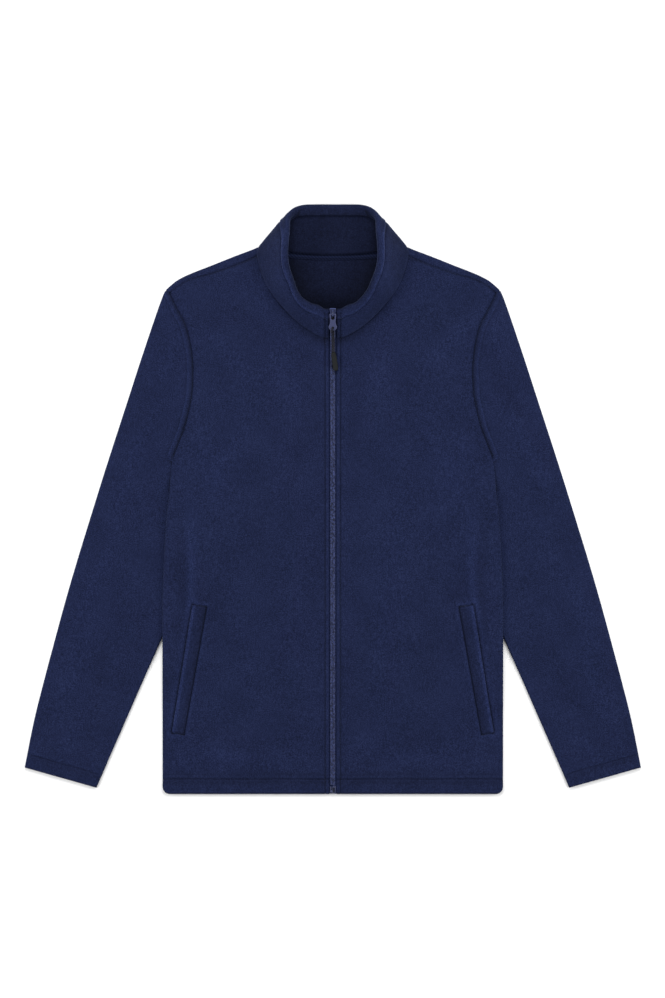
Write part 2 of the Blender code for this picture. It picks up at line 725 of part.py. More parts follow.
def zip_slider():
    """A wedge-shaped body on the tapes with a round bail over its top."""
    foot, up, out = slider_frame()
    across = np.array((1.0, 0, 0))
    body = bmesh.new()
    bmesh.ops.create_cube(body, size=1)
    for vertex in body.verts:
        x, y, z = vertex.co
        width = SLIDER_WIDTH if y > 0 else SLIDER_FOOT
        rise = GAP / 2 + (z + 0.5) * SLIDER_THICK
        spot = foot + across * x * width + up * y * SLIDER_LENGTH + out * rise
        vertex.co = Vector(spot) * MM
    bmesh.ops.recalc_face_normals(body, faces=body.faces)
    mesh = bpy.data.meshes.new("zip_slider")
    body.to_mesh(mesh)
    body.free()
    slider = finish("zip_slider", mesh, PAINTED_METAL, 0.4, 0.6)
    bevel = slider.modifiers.new("Corners", "BEVEL")
    bevel.width = 0.7 * MM
    bevel.segments = 2
    top = GAP / 2 + SLIDER_THICK
    arch = samples(BAIL_ARCH, 12)
    route = [foot + up * along + out * (top + rise) for along, rise in arch]
    bar = tube("bail_bar", route, BAIL_THICK, PAINTED_METAL, 0.4)
    bpy.context.view_layer.update()
    bail_mesh = evaluated_mesh(bar)
    bpy.data.objects.remove(bar)
    weld = bmesh.new()
    weld.from_mesh(bail_mesh)
    bmesh.ops.remove_doubles(weld, verts=weld.verts, dist=1e-6)
    weld.to_mesh(bail_mesh)
    weld.free()
    bail = bpy.data.objects.new("bail_for_slider", bail_mesh)
    bpy.data.collections["tools"].objects.link(bail)
    bail.hide_render = True
    bail.display_type = "WIRE"
    join = slider.modifiers.new("Bail", "BOOLEAN")
    join.operation = "UNION"
    join.object = bail
    return slider


def arc(centre, radius, start, end, count):
    angles = np.radians(np.linspace(start, end, count))
    return [(centre[0] + radius * math.cos(a), centre[1] + radius * math.sin(a)) for a in angles]


def tab_frame():
    """Hinge point under the bail, the tab's way down and its way out."""
    foot, up, out = slider_frame()
    hinge = foot - up * HINGE_BELOW + out * (GAP / 2 + SLIDER_THICK + HINGE_RISE)
    tab_end = SLIDER_AT - (TAB_LENGTH + 1) / collar_height(1)
    point, _, way_out = collar_frame(1, tab_end)
    rest = GAP / 2 + CHAIN_THICK + CORD + 3 * GAP + TAB_THICK / 2
    end = point + way_out * rest
    down = np.array((0, *(end - hinge)[1:]))
    down = down / np.linalg.norm(down)
    return hinge, down, np.array((0, down[2], -down[1]))


def tab_outline():
    end = TAB_LENGTH
    half = [(TAB_TOP / 2 - 0.8, -TAB_BAR / 2), (TAB_TOP / 2, -TAB_BAR / 2 + 0.8), (TAB_TOP / 2, 3),
            (TAB_WAIST / 2, 8), (TAB_WAIST / 2, 13), (TAB_END / 2 - 0.6, 17.5)]
    half += arc((0, end - TAB_END / 2), TAB_END / 2, 0, 78, 6)
    return half + [(-x, y) for x, y in reversed(half)]


def pull_tab():
    hinge, down, out = tab_frame()
    half, start, end = TAB_WINDOW[0] / 2, TAB_BAR / 2, TAB_BAR / 2 + TAB_WINDOW[1]
    window = [(half, start), (half, end - TAB_CORNER), (half - TAB_CORNER, end),
              (TAB_CORNER - half, end), (-half, end - TAB_CORNER), (-half, start)]
    ring = arc((0, RING_AT + RING_STRAIGHT), TAB_RING / 2, 0, 180, 7)
    ring += arc((0, RING_AT - RING_STRAIGHT), TAB_RING / 2, 180, 360, 7)
    mesh = flat_plate("pull_tab", (tab_outline(), window, ring), TAB_THICK, 0.25)
    tab = finish("pull_tab", mesh, PAINTED_METAL, 0.4, 0.6)
    across = np.cross(down, out)
    turn = np.array((across, down, out)).T
    tab.matrix_world = matrix_of(turn, hinge)
    return tab


def matrix_of(turn, place):
    made = Matrix.Identity(4)
    for i in range(3):
        for j in range(3):
            made[i][j] = turn[i][j]
        made[i][3] = place[i] * MM
    return made


def puller_cord():
    """One loop of cord, out of the grip, through the tab's ring and back."""
    hinge, down, out = tab_frame()
    across = np.array((1.0, 0, 0))
    ring = RING_AT

    def near(x, along, rise):
        return hinge + across * x + down * along + out * rise

    grip_top = np.array((*GRIP_FROM, chain_top() + GAP + GRIP_THICK / 2)) + (0, GAP, 0)
    lane = CORD_LANE
    over = [grip_top - across * lane, grip_top + (-lane, 7, 0.6), near(-lane, ring + 8.5, 0.2),
            near(-lane, ring + 5.0, 2.0), near(-0.9, ring + 1.9, 2.3), near(-0.5, ring - 0.2, 1.3),
            near(0, ring - 0.7, 0)]
    under = [near(0.5, ring - 0.2, -1.3), near(0.9, ring + 1.9, -2.3), near(lane, ring + 4.4, -1.9),
             near(lane, ring + 7.5, -1.0), grip_top + (lane, 7, 0.2), grip_top + across * lane]
    return tube("puller_cord", samples(over + under, 30), CORD, BLACK_CORD, 0.8)


def chain_top():
    return CLOTH + GAP + TAPE_THICK + GAP + CHAIN_THICK


def puller_grip():
    start, end = np.array(GRIP_FROM), np.array(GRIP_TO)
    wide, long = GRIP_WIDTH / 2, GRIP_LENGTH / 2
    half = [(2.0, long), (2.8, long - 0.8), (wide, long - 6), (wide, 3 - long)]
    half += arc((0, wide - long), wide, -14, -76, 5)
    outline = half + [(-x, y) for x, y in reversed(half)]
    mesh = flat_plate("puller_grip", (outline,), GRIP_THICK, 1.0)
    grip = finish("puller_grip", mesh, BLACK_RUBBER, 0.6)
    middle = (start + end) / 2
    grip.location = Vector((*middle, chain_top() + GAP + GRIP_THICK / 2)) * MM
    way = end - start
    grip.rotation_euler = (0, 0, math.atan2(way[0], -way[1]))
    return grip


def zip_box():
    rise = CLOTH + GAP + TAPE_THICK + GAP
    thick = CHAIN_THICK + 0.5
    return rounded_block("zip_box", (BOX_WIDTH, BOX_LENGTH, thick),
                         (0, HEM + BOX_LENGTH / 2, rise + thick / 2), 0.6, PAINTED_METAL, 0.4, 0.5)


def main():
    clear_scene()
    for name in ("fleece_zip_jacket", "tools"):
        bpy.context.scene.collection.children.link(bpy.data.collections.new(name))
    back_panel()
    for name, side in (("left", 1), ("right", -1)):
        front = front_panel("front_" + name, side)
        sleeve("sleeve_" + name, side)
        zip_tape("zip_tape_" + name, side)
        pocket_welt("pocket_welt_" + name, side, front)
    collar_outer()
    collar_inner()
    neck_tape()
    foot, up, out = slider_frame()
    end = foot - up * (SLIDER_LENGTH / 2 + GAP) + out * (GAP / 2 + CHAIN_THICK / 2)
    zip_chain(end[1:])
    zip_box()
    zip_slider()
    pull_tab()
    puller_cord()
    puller_grip()


main()
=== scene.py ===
import math

import bmesh
import bpy
import numpy as np
from mathutils import Matrix, Vector


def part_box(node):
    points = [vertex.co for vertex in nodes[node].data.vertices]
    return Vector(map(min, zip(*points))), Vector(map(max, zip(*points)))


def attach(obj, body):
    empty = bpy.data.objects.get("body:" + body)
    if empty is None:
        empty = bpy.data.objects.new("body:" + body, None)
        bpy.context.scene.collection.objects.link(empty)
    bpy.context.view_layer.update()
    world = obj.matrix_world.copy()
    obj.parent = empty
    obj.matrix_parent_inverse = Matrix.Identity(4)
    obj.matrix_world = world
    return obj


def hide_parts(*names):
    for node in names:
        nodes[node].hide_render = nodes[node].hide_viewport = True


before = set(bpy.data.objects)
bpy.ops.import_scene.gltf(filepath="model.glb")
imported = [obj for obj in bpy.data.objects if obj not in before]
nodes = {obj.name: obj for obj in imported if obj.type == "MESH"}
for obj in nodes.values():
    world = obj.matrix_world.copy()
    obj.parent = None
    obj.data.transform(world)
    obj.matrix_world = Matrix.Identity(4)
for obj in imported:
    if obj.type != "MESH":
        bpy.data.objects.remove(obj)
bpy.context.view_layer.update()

# A fleece zip jacket laid flat, front up, zip closed. Tables are in millimetres, one half of the
# jacket on +X (the wearer's left); "out" is from the centre line, "up" from the middle of the length.
mm = 0.001
sideWord = {1: "left", -1: "right"}     # the wearer's own


def linearColour(code, shade=1.0):
    # sRGB hex to the linear colour that a shader takes
    parts = [int(code[i:i + 2], 16) / 255 for i in (1, 3, 5)]
    linear = [p / 12.92 if p <= 0.04045 else ((p + 0.055) / 1.055) ** 2.4 for p in parts]
    return (*(shade * p for p in linear), 1.0)


def eased(t):
    t = np.clip(t, 0.0, 1.0)
    return t * t * (3 - 2 * t)


def travelAlong(line):
    # how far along the line each of its points is
    return np.concatenate([[0], np.cumsum(np.linalg.norm(np.diff(line, axis=0), axis=1))])


def smoothRun(points):
    # a curve through the points, taken at even speed by at(0..1)
    knots = [np.array(point, float) for point in points]
    knots = [2 * knots[0] - knots[1], *knots, 2 * knots[-1] - knots[-2]]
    dense = [knots[1]]
    for a, b, c, d in zip(knots, knots[1:], knots[2:], knots[3:]):
        for t in np.linspace(0, 1, 17)[1:]:
            bend = (2 * a - 5 * b + 4 * c - d) * t**2 + (3 * b - a - 3 * c + d) * t**3
            dense.append(0.5 * (2 * b + (c - a) * t + bend))
    dense = np.array(dense)
    travelled = travelAlong(dense)

    def at(t):
        return np.stack([np.interp(np.asarray(t) * travelled[-1], travelled, axis) for axis in dense.T], -1)

    at.length = travelled[-1]
    return at


def sideways(line, by):
    # the line moved to its left, seen from above
    line = np.asarray(line, float)
    way = np.vstack([line[1:] - line[:-1], line[-1:] - line[-2:-1]])
    way[1:-1] = line[2:] - line[:-2]
    way /= np.linalg.norm(way, axis=1)[:, None]
    return line + by * np.stack([-way[:, 1], way[:, 0]], -1)


def filled(left, right, bottom, top, u, v):
    # a patch of plan points between four edges
    u, v = u[None, :, None], v[:, None, None]
    across = (1 - u) * left[:, None] + u * right[:, None]
    along = (1 - v) * bottom[None] + v * top[None]
    corners = (1 - v) * ((1 - u) * left[0] + u * right[0]) + v * ((1 - u) * left[-1] + u * right[-1])
    return across + along - corners


def stops(fixed, end, step):
    # the fixed stops, then even ones up to the end
    rest = max(1, round((end - fixed[-1]) / step))
    return np.concatenate([fixed, np.linspace(fixed[-1], end, rest + 1)[1:]])


def awayFrom(line, x, y):
    # distance of each place from a line in plan
    line = np.asarray(line, float)[:, :2]
    nearest = np.full(np.shape(x), 1e9)
    for a, b in zip(line, line[1:]):
        ab = b - a
        share = np.clip(((x - a[0]) * ab[0] + (y - a[1]) * ab[1]) / max(ab @ ab, 1e-9), 0, 1)
        nearest = np.minimum(nearest, np.hypot(x - a[0] - share * ab[0], y - a[1] - share * ab[1]))
    return nearest


def ridges(away, table):
    # ridges and, below 0, dips along a line: how far from it, height, half width
    return sum(high * np.exp(-((away - at) / wide) ** 2) for at, high, wide in table)


def puckers(x, waves, side):
    # sewing draws a turned hem into small puckers: height, length, how uneven, over what length
    high, short, uneven, long = waves
    return high * np.sin(x / short + uneven * np.sin(x / long) + side)


def softNoise(x, y, scale, seed):
    # slow even unevenness, about -1 to 1, that never repeats over the jacket
    total = 0
    for k, (turn, size) in enumerate(((0.3, 1.0), (1.4, 0.73), (2.5, 0.53), (3.9, 0.41))):
        a, b = math.cos(turn + seed), math.sin(turn + seed)
        total = total + size * np.sin((x * a + y * b) / (scale * size) + seed * (k + 1) * 2.7)
    return total / 1.9


def addNode(tree, kind, settings=(), links=()):
    # a node with its settings, its colour stops if it is a ramp, and its links
    node = tree.nodes.new(kind)
    for name, value in dict(settings).items():
        if name == "stops":
            marks = node.color_ramp.elements
            marks[0].position, marks[0].color = value[0]
            marks[-1].position, marks[-1].color = value[-1]
            for place, colour in value[1:-1]:
                marks.new(place).color = colour
        elif isinstance(name, str) and hasattr(node, name):
            setattr(node, name, value)
        else:
            node.inputs[name].default_value = value
    for socket, source in dict(links).items():
        tree.links.new(source, node.inputs[socket])
    return node


def newMaterial(name, settings):
    # a material with its tree and shader, and the piece's own coordinates
    material = bpy.data.materials.new(name)
    material.use_nodes = True
    tree = material.node_tree
    shader = tree.nodes["Principled BSDF"]
    for socket, value in settings.items():
        shader.inputs[socket].default_value = value
    place = addNode(tree, "ShaderNodeTexCoord").outputs["Object"]
    return material, tree, shader, place


def joinShader(tree, shader, links):
    for socket, source in links.items():
        tree.links.new(source, shader.inputs[socket])


def darkenedBy(tree, attribute, amount, colour):
    # the colour, darker where the piece's attribute is above 0 and lighter where it is below
    mark = addNode(tree, "ShaderNodeAttribute", {"attribute_name": attribute})
    left = addNode(tree, "ShaderNodeMath", {"operation": "MULTIPLY_ADD", 1: -amount, 2: 1.0},
                   {0: mark.outputs["Fac"]})
    dyed = addNode(tree, "ShaderNodeVectorMath", {"operation": "SCALE"},
                   {0: colour, "Scale": left.outputs[0]})
    return dyed.outputs["Vector"]


fleeceFinish = {
    "deep": "#0a1024",      # between the tufts
    "mid": "#141b37",       # the body of the nap
    "tip": "#202847",       # tufts that catch the light
    "spread": 0.13,         # how soon the colour reaches its deepest and lightest
    "tuftMm": 1.35,         # short sheared tufts
    "waleMm": (1.8, 8.0),   # ribs of the knit under the nap: across and along
    "clumpMm": 6.0,         # tufts that lean together
    "layMm": 42.0,          # how far the nap lies one way before it turns
    "shares": {"lay": 0.10, "clumps": 0.09, "wales": 0.14, "tufts": 0.67},     # of each in the colour
    "clumpHeight": 0.7,     # against 1 for the tufts
    "napDepth": 0.42,
    "pressedAndShadedDark": 0.72,    # how much darker the colour is where the nap is pressed flat and where shade is painted
}


def brushedFleece(name, shade=1.0, lean=0.0):
    # polyester knit, brushed and sheared on the face: matt, a fine short nap over faint ribs of knit,
    # and a pale bloom along every edge that turns away, where the fibre ends stand against the light
    made = fleeceFinish
    material, tree, shader, place = newMaterial(name, {
        "Roughness": 0.95, "Sheen Weight": 0.3, "Sheen Roughness": 0.36,
        "Sheen Tint": linearColour("#7f90bd"), "Specular IOR Level": 0.1})
    across, along = made["waleMm"]
    knitWay = addNode(tree, "ShaderNodeMapping", {
        "Rotation": (0, 0, math.radians(lean)), "Scale": (1000 / across, 1000 / along, 1000 / across)},
        {"Vector": place})
    wales = addNode(tree, "ShaderNodeTexNoise", {"Scale": 1.0, "Detail": 2.0},
                    {"Vector": knitWay.outputs["Vector"]})
    tufts = addNode(tree, "ShaderNodeTexNoise",
                    {"Scale": 1000 / made["tuftMm"], "Detail": 3.0, "Roughness": 0.65}, {"Vector": place})
    clumps = addNode(tree, "ShaderNodeTexNoise", {"Scale": 1000 / made["clumpMm"], "Detail": 2.0},
                     {"Vector": place})
    lay = addNode(tree, "ShaderNodeTexNoise",
                  {"Scale": 1000 / made["layMm"], "Detail": 2.0, "Roughness": 0.45}, {"Vector": place})
    noises = {"lay": lay, "clumps": clumps, "wales": wales, "tufts": tufts}
    nap = None
    for pattern, share in made["shares"].items():
        links = {0: noises[pattern].outputs["Fac"]}
        if nap:
            links[2] = nap.outputs[0]
        nap = addNode(tree, "ShaderNodeMath", {"operation": "MULTIPLY_ADD", 1: share, 2: 0.0}, links)
    ramp = addNode(tree, "ShaderNodeValToRGB", {"stops": (
        (0.5 - made["spread"], linearColour(made["deep"], shade)), (0.5, linearColour(made["mid"], shade)),
        (0.5 + made["spread"], linearColour(made["tip"], shade)))}, {"Fac": nap.outputs[0]})
    height = addNode(tree, "ShaderNodeMath", {"operation": "MULTIPLY_ADD", 1: made["clumpHeight"]},
                     {0: clumps.outputs["Fac"], 2: tufts.outputs["Fac"]})
    bump = addNode(tree, "ShaderNodeBump", {"Strength": made["napDepth"], "Distance": 0.001},
                   {"Height": height.outputs[0]})
    # the colour is darkened by pressed nap and painted shade, and lightened by painted highlight, as the piece's
    # attribute says
    joinShader(tree, shader, {
        "Base Color": darkenedBy(tree, "pressed", made["pressedAndShadedDark"], ramp.outputs["Color"]),
        "Normal": bump.outputs["Normal"]})
    return material


waveTurn = 6.283     # a wave texture's scale counts in radians
tapeFinish = {"ribMm": 1.1, "ribDepth": 0.35, "sewnAndShadedDark": 0.6}


def wovenTape(name, code, light):
    # polyester twill tape: fine even ribs 0.8 mm apart, drawn at 1.1 mm so that they show
    material, tree, shader, place = newMaterial(name, {"Roughness": 0.85, "Specular IOR Level": 0.06})
    ribs = addNode(tree, "ShaderNodeTexWave", {
        "Scale": 1000 / tapeFinish["ribMm"] / waveTurn, "Distortion": 0.6, "bands_direction": "DIAGONAL"},
        {"Vector": place})
    ramp = addNode(tree, "ShaderNodeValToRGB", {
        "stops": ((0.2, linearColour(code)), (0.9, linearColour(light)))}, {"Fac": ribs.outputs["Fac"]})
    bump = addNode(tree, "ShaderNodeBump", {"Strength": tapeFinish["ribDepth"], "Distance": 0.0002},
                   {"Height": ribs.outputs["Fac"]})
    # darkened where sewn and by painted shade, lightened by painted highlight, from the piece's attribute
    joinShader(tree, shader, {
        "Base Color": darkenedBy(tree, "pressed", tapeFinish["sewnAndShadedDark"], ramp.outputs["Color"]),
        "Normal": bump.outputs["Normal"]})
    return material


coilFinish = {"dyeMm": 2.6, "deep": "#151c38", "bright": "#3f4a7a", "sliderShadeDark": 0.85}


def nylonCoil(name):
    # dyed nylon monofilament wound into a coil: satin, a little lighter than the cloth,
    # with painted shade darkening it just below the slider
    material, tree, shader, place = newMaterial(name, {
        "Roughness": 0.36, "IOR": 1.53, "Specular IOR Level": 0.35})
    dye = addNode(tree, "ShaderNodeTexNoise", {"Scale": 1000 / coilFinish["dyeMm"], "Detail": 1.0},
                  {"Vector": place})
    ramp = addNode(tree, "ShaderNodeValToRGB", {"stops": (
        (0.38, linearColour(coilFinish["deep"])), (0.62, linearColour(coilFinish["bright"])))},
        {"Fac": dye.outputs["Fac"]})
    joinShader(tree, shader, {
        "Base Color": darkenedBy(tree, "waxed", coilFinish["sliderShadeDark"], ramp.outputs["Color"])})
    return material


paintFinish = {"peelMm": 0.9, "peelDepth": 0.08, "rough": (0.3, 0.42), "flat": 0.97, "slope": 0.6}


def paintedZinc(name, code, light):
    # zinc die-cast with baked satin paint: smooth, with a fine orange peel; a painted highlight
    # makes edges and slopes lighter than the flats
    made = paintFinish
    material, tree, shader, place = newMaterial(name, {
        "Metallic": 0.12, "Coat Weight": 0.16, "Coat Roughness": 0.16, "Specular IOR Level": 0.25})
    peel = addNode(tree, "ShaderNodeTexNoise", {"Scale": 1000 / made["peelMm"], "Detail": 2.0},
                   {"Vector": place})
    rough = addNode(tree, "ShaderNodeMapRange", {
        "From Min": 0.3, "From Max": 0.7, "To Min": made["rough"][0], "To Max": made["rough"][1]},
        {"Value": peel.outputs["Fac"]})
    surface = addNode(tree, "ShaderNodeNewGeometry")
    facing = addNode(tree, "ShaderNodeSeparateXYZ", {}, {0: surface.outputs["Normal"]})
    slope = addNode(tree, "ShaderNodeMapRange", {"From Min": made["flat"], "From Max": made["slope"]},
                    {"Value": facing.outputs["Z"]})
    ramp = addNode(tree, "ShaderNodeValToRGB", {
        "stops": ((0.0, linearColour(code)), (1.0, linearColour(light)))}, {"Fac": slope.outputs["Result"]})
    bump = addNode(tree, "ShaderNodeBump", {"Strength": made["peelDepth"], "Distance": 0.0001},
                   {"Height": peel.outputs["Fac"]})
    joinShader(tree, shader, {"Base Color": ramp.outputs["Color"], "Roughness": rough.outputs["Result"],
                              "Normal": bump.outputs["Normal"]})
    return material


braidFinish = {"yarnMm": 0.9, "deep": "#17181d", "bright": "#23242c"}


def braidedCord(name):
    # charcoal polyester braid: short slanting yarns about 0.7 mm wide, drawn at 0.9 mm so that they show
    material, tree, shader, place = newMaterial(name, {"Roughness": 0.85, "Specular IOR Level": 0.12})
    yarn = addNode(tree, "ShaderNodeTexWave", {
        "Scale": 1000 / braidFinish["yarnMm"] / waveTurn, "Distortion": 2.0, "Detail": 1.0,
        "bands_direction": "DIAGONAL"}, {"Vector": place})
    ramp = addNode(tree, "ShaderNodeValToRGB", {"stops": (
        (0.2, linearColour(braidFinish["deep"])), (0.85, linearColour(braidFinish["bright"])))},
        {"Fac": yarn.outputs["Fac"]})
    bump = addNode(tree, "ShaderNodeBump", {"Strength": 0.6, "Distance": 0.0003},
                   {"Height": yarn.outputs["Fac"]})
    joinShader(tree, shader, {"Base Color": ramp.outputs["Color"], "Normal": bump.outputs["Normal"]})
    return material


gripFinish = {"grainMm": 0.8, "deep": "#111315", "bright": "#1a1c1d", "rough": (0.48, 0.66)}


def mouldedGrip(name):
    # soft TPU moulded over the cord's ends: matt charcoal with a fine spark grain
    material, tree, shader, place = newMaterial(name, {"Specular IOR Level": 0.12})
    grain = addNode(tree, "ShaderNodeTexNoise", {"Scale": 1000 / gripFinish["grainMm"], "Detail": 2.0},
                    {"Vector": place})
    ramp = addNode(tree, "ShaderNodeValToRGB", {"stops": (
        (0.3, linearColour(gripFinish["deep"])), (0.7, linearColour(gripFinish["bright"])))},
        {"Fac": grain.outputs["Fac"]})
    rough = addNode(tree, "ShaderNodeMapRange", {
        "To Min": gripFinish["rough"][0], "To Max": gripFinish["rough"][1]}, {"Value": grain.outputs["Fac"]})
    bump = addNode(tree, "ShaderNodeBump", {"Strength": 0.15, "Distance": 0.0002},
                   {"Height": grain.outputs["Fac"]})
    joinShader(tree, shader, {"Base Color": ramp.outputs["Color"], "Roughness": rough.outputs["Result"],
                              "Normal": bump.outputs["Normal"]})
    return material


threadFinish = {"twistMm": 1.2, "deep": "#0e1430", "bright": "#19213f"}


def spunThread(name):
    # twisted polyester sewing thread, dyed to match and sunk in the nap
    material, tree, shader, place = newMaterial(name, {"Roughness": 0.8, "Specular IOR Level": 0.06})
    twist = addNode(tree, "ShaderNodeTexNoise", {"Scale": 1000 / threadFinish["twistMm"]}, {"Vector": place})
    ramp = addNode(tree, "ShaderNodeValToRGB", {"stops": (
        (0.3, linearColour(threadFinish["deep"])), (0.7, linearColour(threadFinish["bright"])))},
        {"Fac": twist.outputs["Fac"]})
    joinShader(tree, shader, {"Base Color": ramp.outputs["Color"]})
    return material


fleece = brushedFleece("brushed polyester fleece")
# a darker copy of the fleece for inner faces: painted shade for the inside that lies in shade
fleeceShadedInside = brushedFleece("brushed polyester fleece, inner face in painted shade", 0.62)
sleeveLean = 17     # degrees that a sleeve's knit leans from the body's
sleeveFleece = {side: brushedFleece("brushed polyester fleece, sleeve " + word, 1.0, side * sleeveLean)
                for side, word in sideWord.items()}
tapeCloth = wovenTape("woven polyester twill tape", "#171e3c", "#232b4e")
neckTapeCloth = wovenTape("woven polyester neck tape", "#0d1328", "#171e38")
coilNylon = nylonCoil("nylon coil")
zincPaint = paintedZinc("zinc die-cast painted", "#0d1226", "#47507c")
# a lighter copy of the same paint, a painted highlight, for the tab and the raised rim of the retainer box
litZincPaint = paintedZinc("zinc die-cast painted, lighter copy", "#272d4a", "#565c84")
cordBraid = braidedCord("braided polyester cord")
gripTpu = mouldedGrip("moulded TPU grip")
thread = spunThread("spun polyester thread")
print("materials ready")


view = {"alongMm": 998 * 1.32, "lens": 150.0, "sensor": 36, "aimMm": (-0.4, 0.2)}


def setCamera():
    data = bpy.data.cameras.new("overheadCamera")
    data.lens = view["lens"]
    data.sensor_width = view["sensor"]
    data.sensor_fit = "AUTO"
    camera = bpy.data.objects.new("overheadCamera", data)
    bpy.context.scene.collection.objects.link(camera)
    distance = view["alongMm"] / 2 / (view["sensor"] / 2 / view["lens"])     # the long side fills the sensor
    camera.location = (view["aimMm"][0] * mm, view["aimMm"][1] * mm, distance * mm)
    bpy.context.scene.camera = camera


studio = {
    "sky": 0.42, "floorHalf": 4.0,     # metres from the middle to the floor's edge
    # name, place and size in metres, watts
    "lamps": (("headSoftbox", (0.0, 2.0, 1.9), 1.6, 58), ("leftSoftbox", (-1.35, -0.1, 1.0), 0.9, 16),
              ("rightSoftbox", (1.35, -0.1, 1.0), 0.9, 16)),
}


def meshFrom(name, made):
    # a smooth-shaded mesh from a finished bmesh
    mesh = bpy.data.meshes.new(name)
    made.to_mesh(mesh)
    made.free()
    mesh.shade_smooth()
    return mesh


def setStudio():
    grid = bmesh.new()
    bmesh.ops.create_grid(grid, x_segments=8, y_segments=8, size=studio["floorHalf"])
    floorMesh = meshFrom("paleFloor", grid)
    floor = bpy.data.objects.new("paleFloor", floorMesh)
    bpy.context.scene.collection.objects.link(floor)
    # uncoated paper: matt, with a very faint cloudiness of its fibre
    material, tree, shader, place = newMaterial("matt white paper", {
        "Roughness": 0.9, "Specular IOR Level": 0.1})
    fibre = addNode(tree, "ShaderNodeTexNoise", {"Scale": 12.0}, {"Vector": place})
    ramp = addNode(tree, "ShaderNodeValToRGB", {
        "stops": ((0.3, linearColour("#f4f4f4")), (0.7, linearColour("#f8f8f8")))},
        {"Fac": fibre.outputs["Fac"]})
    joinShader(tree, shader, {"Base Color": ramp.outputs["Color"]})
    floorMesh.materials.append(material)
    world = bpy.data.worlds.new("softStudio")
    bpy.context.scene.world = world
    world.use_nodes = True
    sky = world.node_tree.nodes["Background"]
    sky.inputs["Color"].default_value = (1, 1, 1, 1)
    sky.inputs["Strength"].default_value = studio["sky"]
    for name, place, size, power in studio["lamps"]:
        data = bpy.data.lights.new(name, "AREA")
        data.shape = "SQUARE"
        data.size = size
        data.energy = power
        lamp = bpy.data.objects.new(name, data)
        bpy.context.scene.collection.objects.link(lamp)
        lamp.location = place
        lamp.rotation_euler = (-Vector(place)).to_track_quat("-Z", "Y").to_euler()
    bpy.context.scene.view_settings.view_transform = "Standard"
    bpy.context.scene.view_settings.look = "None"


setCamera()
setStudio()
print("camera and studio ready")


def finishPiece(name, mesh, material, body, replaced=()):
    # an object for the mesh or curve, tied to its body, its slot and the nodes that it stands for
    mesh.materials.append(material)
    piece = bpy.data.objects.new(name, mesh)
    bpy.context.scene.collection.objects.link(piece)
    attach(piece, body)
    if replaced:
        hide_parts(*replaced)
    return piece


def clothPiece(name, points, wall, material, replaced=(), missing=None, finer=None, shadedFace=None):
    # a grid pulled to the points, cut finer where its relief is small, then given its wall
    rows, columns = points.shape[0] - 1, points.shape[1] - 1
    shell = bmesh.new()
    bmesh.ops.create_grid(shell, x_segments=columns, y_segments=rows, size=1)
    for vertex in shell.verts:
        vertex.co = Vector((round((vertex.co.x + 1) / 2 * columns), round((vertex.co.y + 1) / 2 * rows), 0))
    if missing:
        empty = [f for f in shell.faces if missing(*f.calc_center_median().xy)]
        bmesh.ops.delete(shell, geom=empty, context="FACES")
    pressed = shell.verts.layers.float.new("pressed")
    for vertex in shell.verts:
        point = points[round(vertex.co.y), round(vertex.co.x)]
        vertex.co = Vector(point[:3]) * mm
        vertex[pressed] = point[3] if len(point) > 3 else 0.0
    bmesh.ops.remove_doubles(shell, verts=shell.verts, dist=0.02 * mm)
    if finer:
        near, reliefAt = finer
        spots = np.array([vertex.co[:2] for vertex in shell.verts]) / mm
        inside = near(spots[:, 0], spots[:, 1])
        shell.verts.index_update()
        edges = [e for e in shell.edges if inside[e.verts[0].index] and inside[e.verts[1].index]]
        bmesh.ops.subdivide_edges(shell, edges=edges, cuts=2, use_grid_fill=True)
        spots = np.array([vertex.co[:2] for vertex in shell.verts]) / mm
        moved = [vertex for vertex, pick in zip(shell.verts, near(spots[:, 0], spots[:, 1])) if pick]
        spots = np.array([vertex.co[:2] for vertex in moved]) / mm
        for vertex, height, pressAndShade in zip(moved, *reliefAt(spots[:, 0], spots[:, 1])):
            vertex.co.z = height * mm
            vertex[pressed] = pressAndShade
    bmesh.ops.recalc_face_normals(shell, faces=shell.faces)
    if shadedFace:
        # the lowest face looks down, so that the other side of the wall gets the darker material of painted shade
        lowest = min(shell.faces, key=lambda f: f.calc_center_median().z + abs(f.calc_center_median().x))
        if lowest.normal.z > 0:
            bmesh.ops.reverse_faces(shell, faces=shell.faces)
    mesh = meshFrom(name, shell)
    piece = finishPiece(name, mesh, material, "jacket", replaced)
    thick = piece.modifiers.new("wall", "SOLIDIFY")
    if shadedFace:
        mesh.materials.append(shadedFace)
        thick.material_offset = 1
    thick.thickness = wall * mm
    thick.offset = 0
    thick.use_even_offset = False
    return piece


# "rise" is how far the thread's middle lies above the middle of the cloth
stitch = {"pitch": 3.4, "length": 2.3, "wide": 0.55, "high": 0.5, "rise": 1.15}


def stitchRow(name, lines):
    # short raised threads along each line of points
    sewn = bmesh.new()
    reach = 0.8     # mm before and after a stitch, to see which way its line runs
    size = Matrix.Diagonal((stitch["length"] / 2, stitch["wide"] / 2, stitch["high"] / 2, 1))
    for line in lines:
        line = np.asarray(line, float)
        travelled = travelAlong(line)
        count = int(travelled[-1] / stitch["pitch"])
        spots = (np.arange(count) + 0.5) * travelled[-1] / count
        middle, ahead, behind = (np.stack([np.interp(at, travelled, axis) for axis in line.T], -1)
                                 for at in (spots, spots + reach, spots - reach))
        for here, a, b in zip(middle, behind, ahead):
            turn = Vector(b - a).to_track_quat("X", "Z").to_matrix().to_4x4()
            place = Matrix.Translation(Vector(here) * mm) @ turn @ size @ Matrix.Scale(mm, 4)
            bmesh.ops.create_icosphere(sewn, subdivisions=1, radius=1.0, matrix=place)
    return finishPiece(name, meshFrom(name, sewn), thread, "jacket")


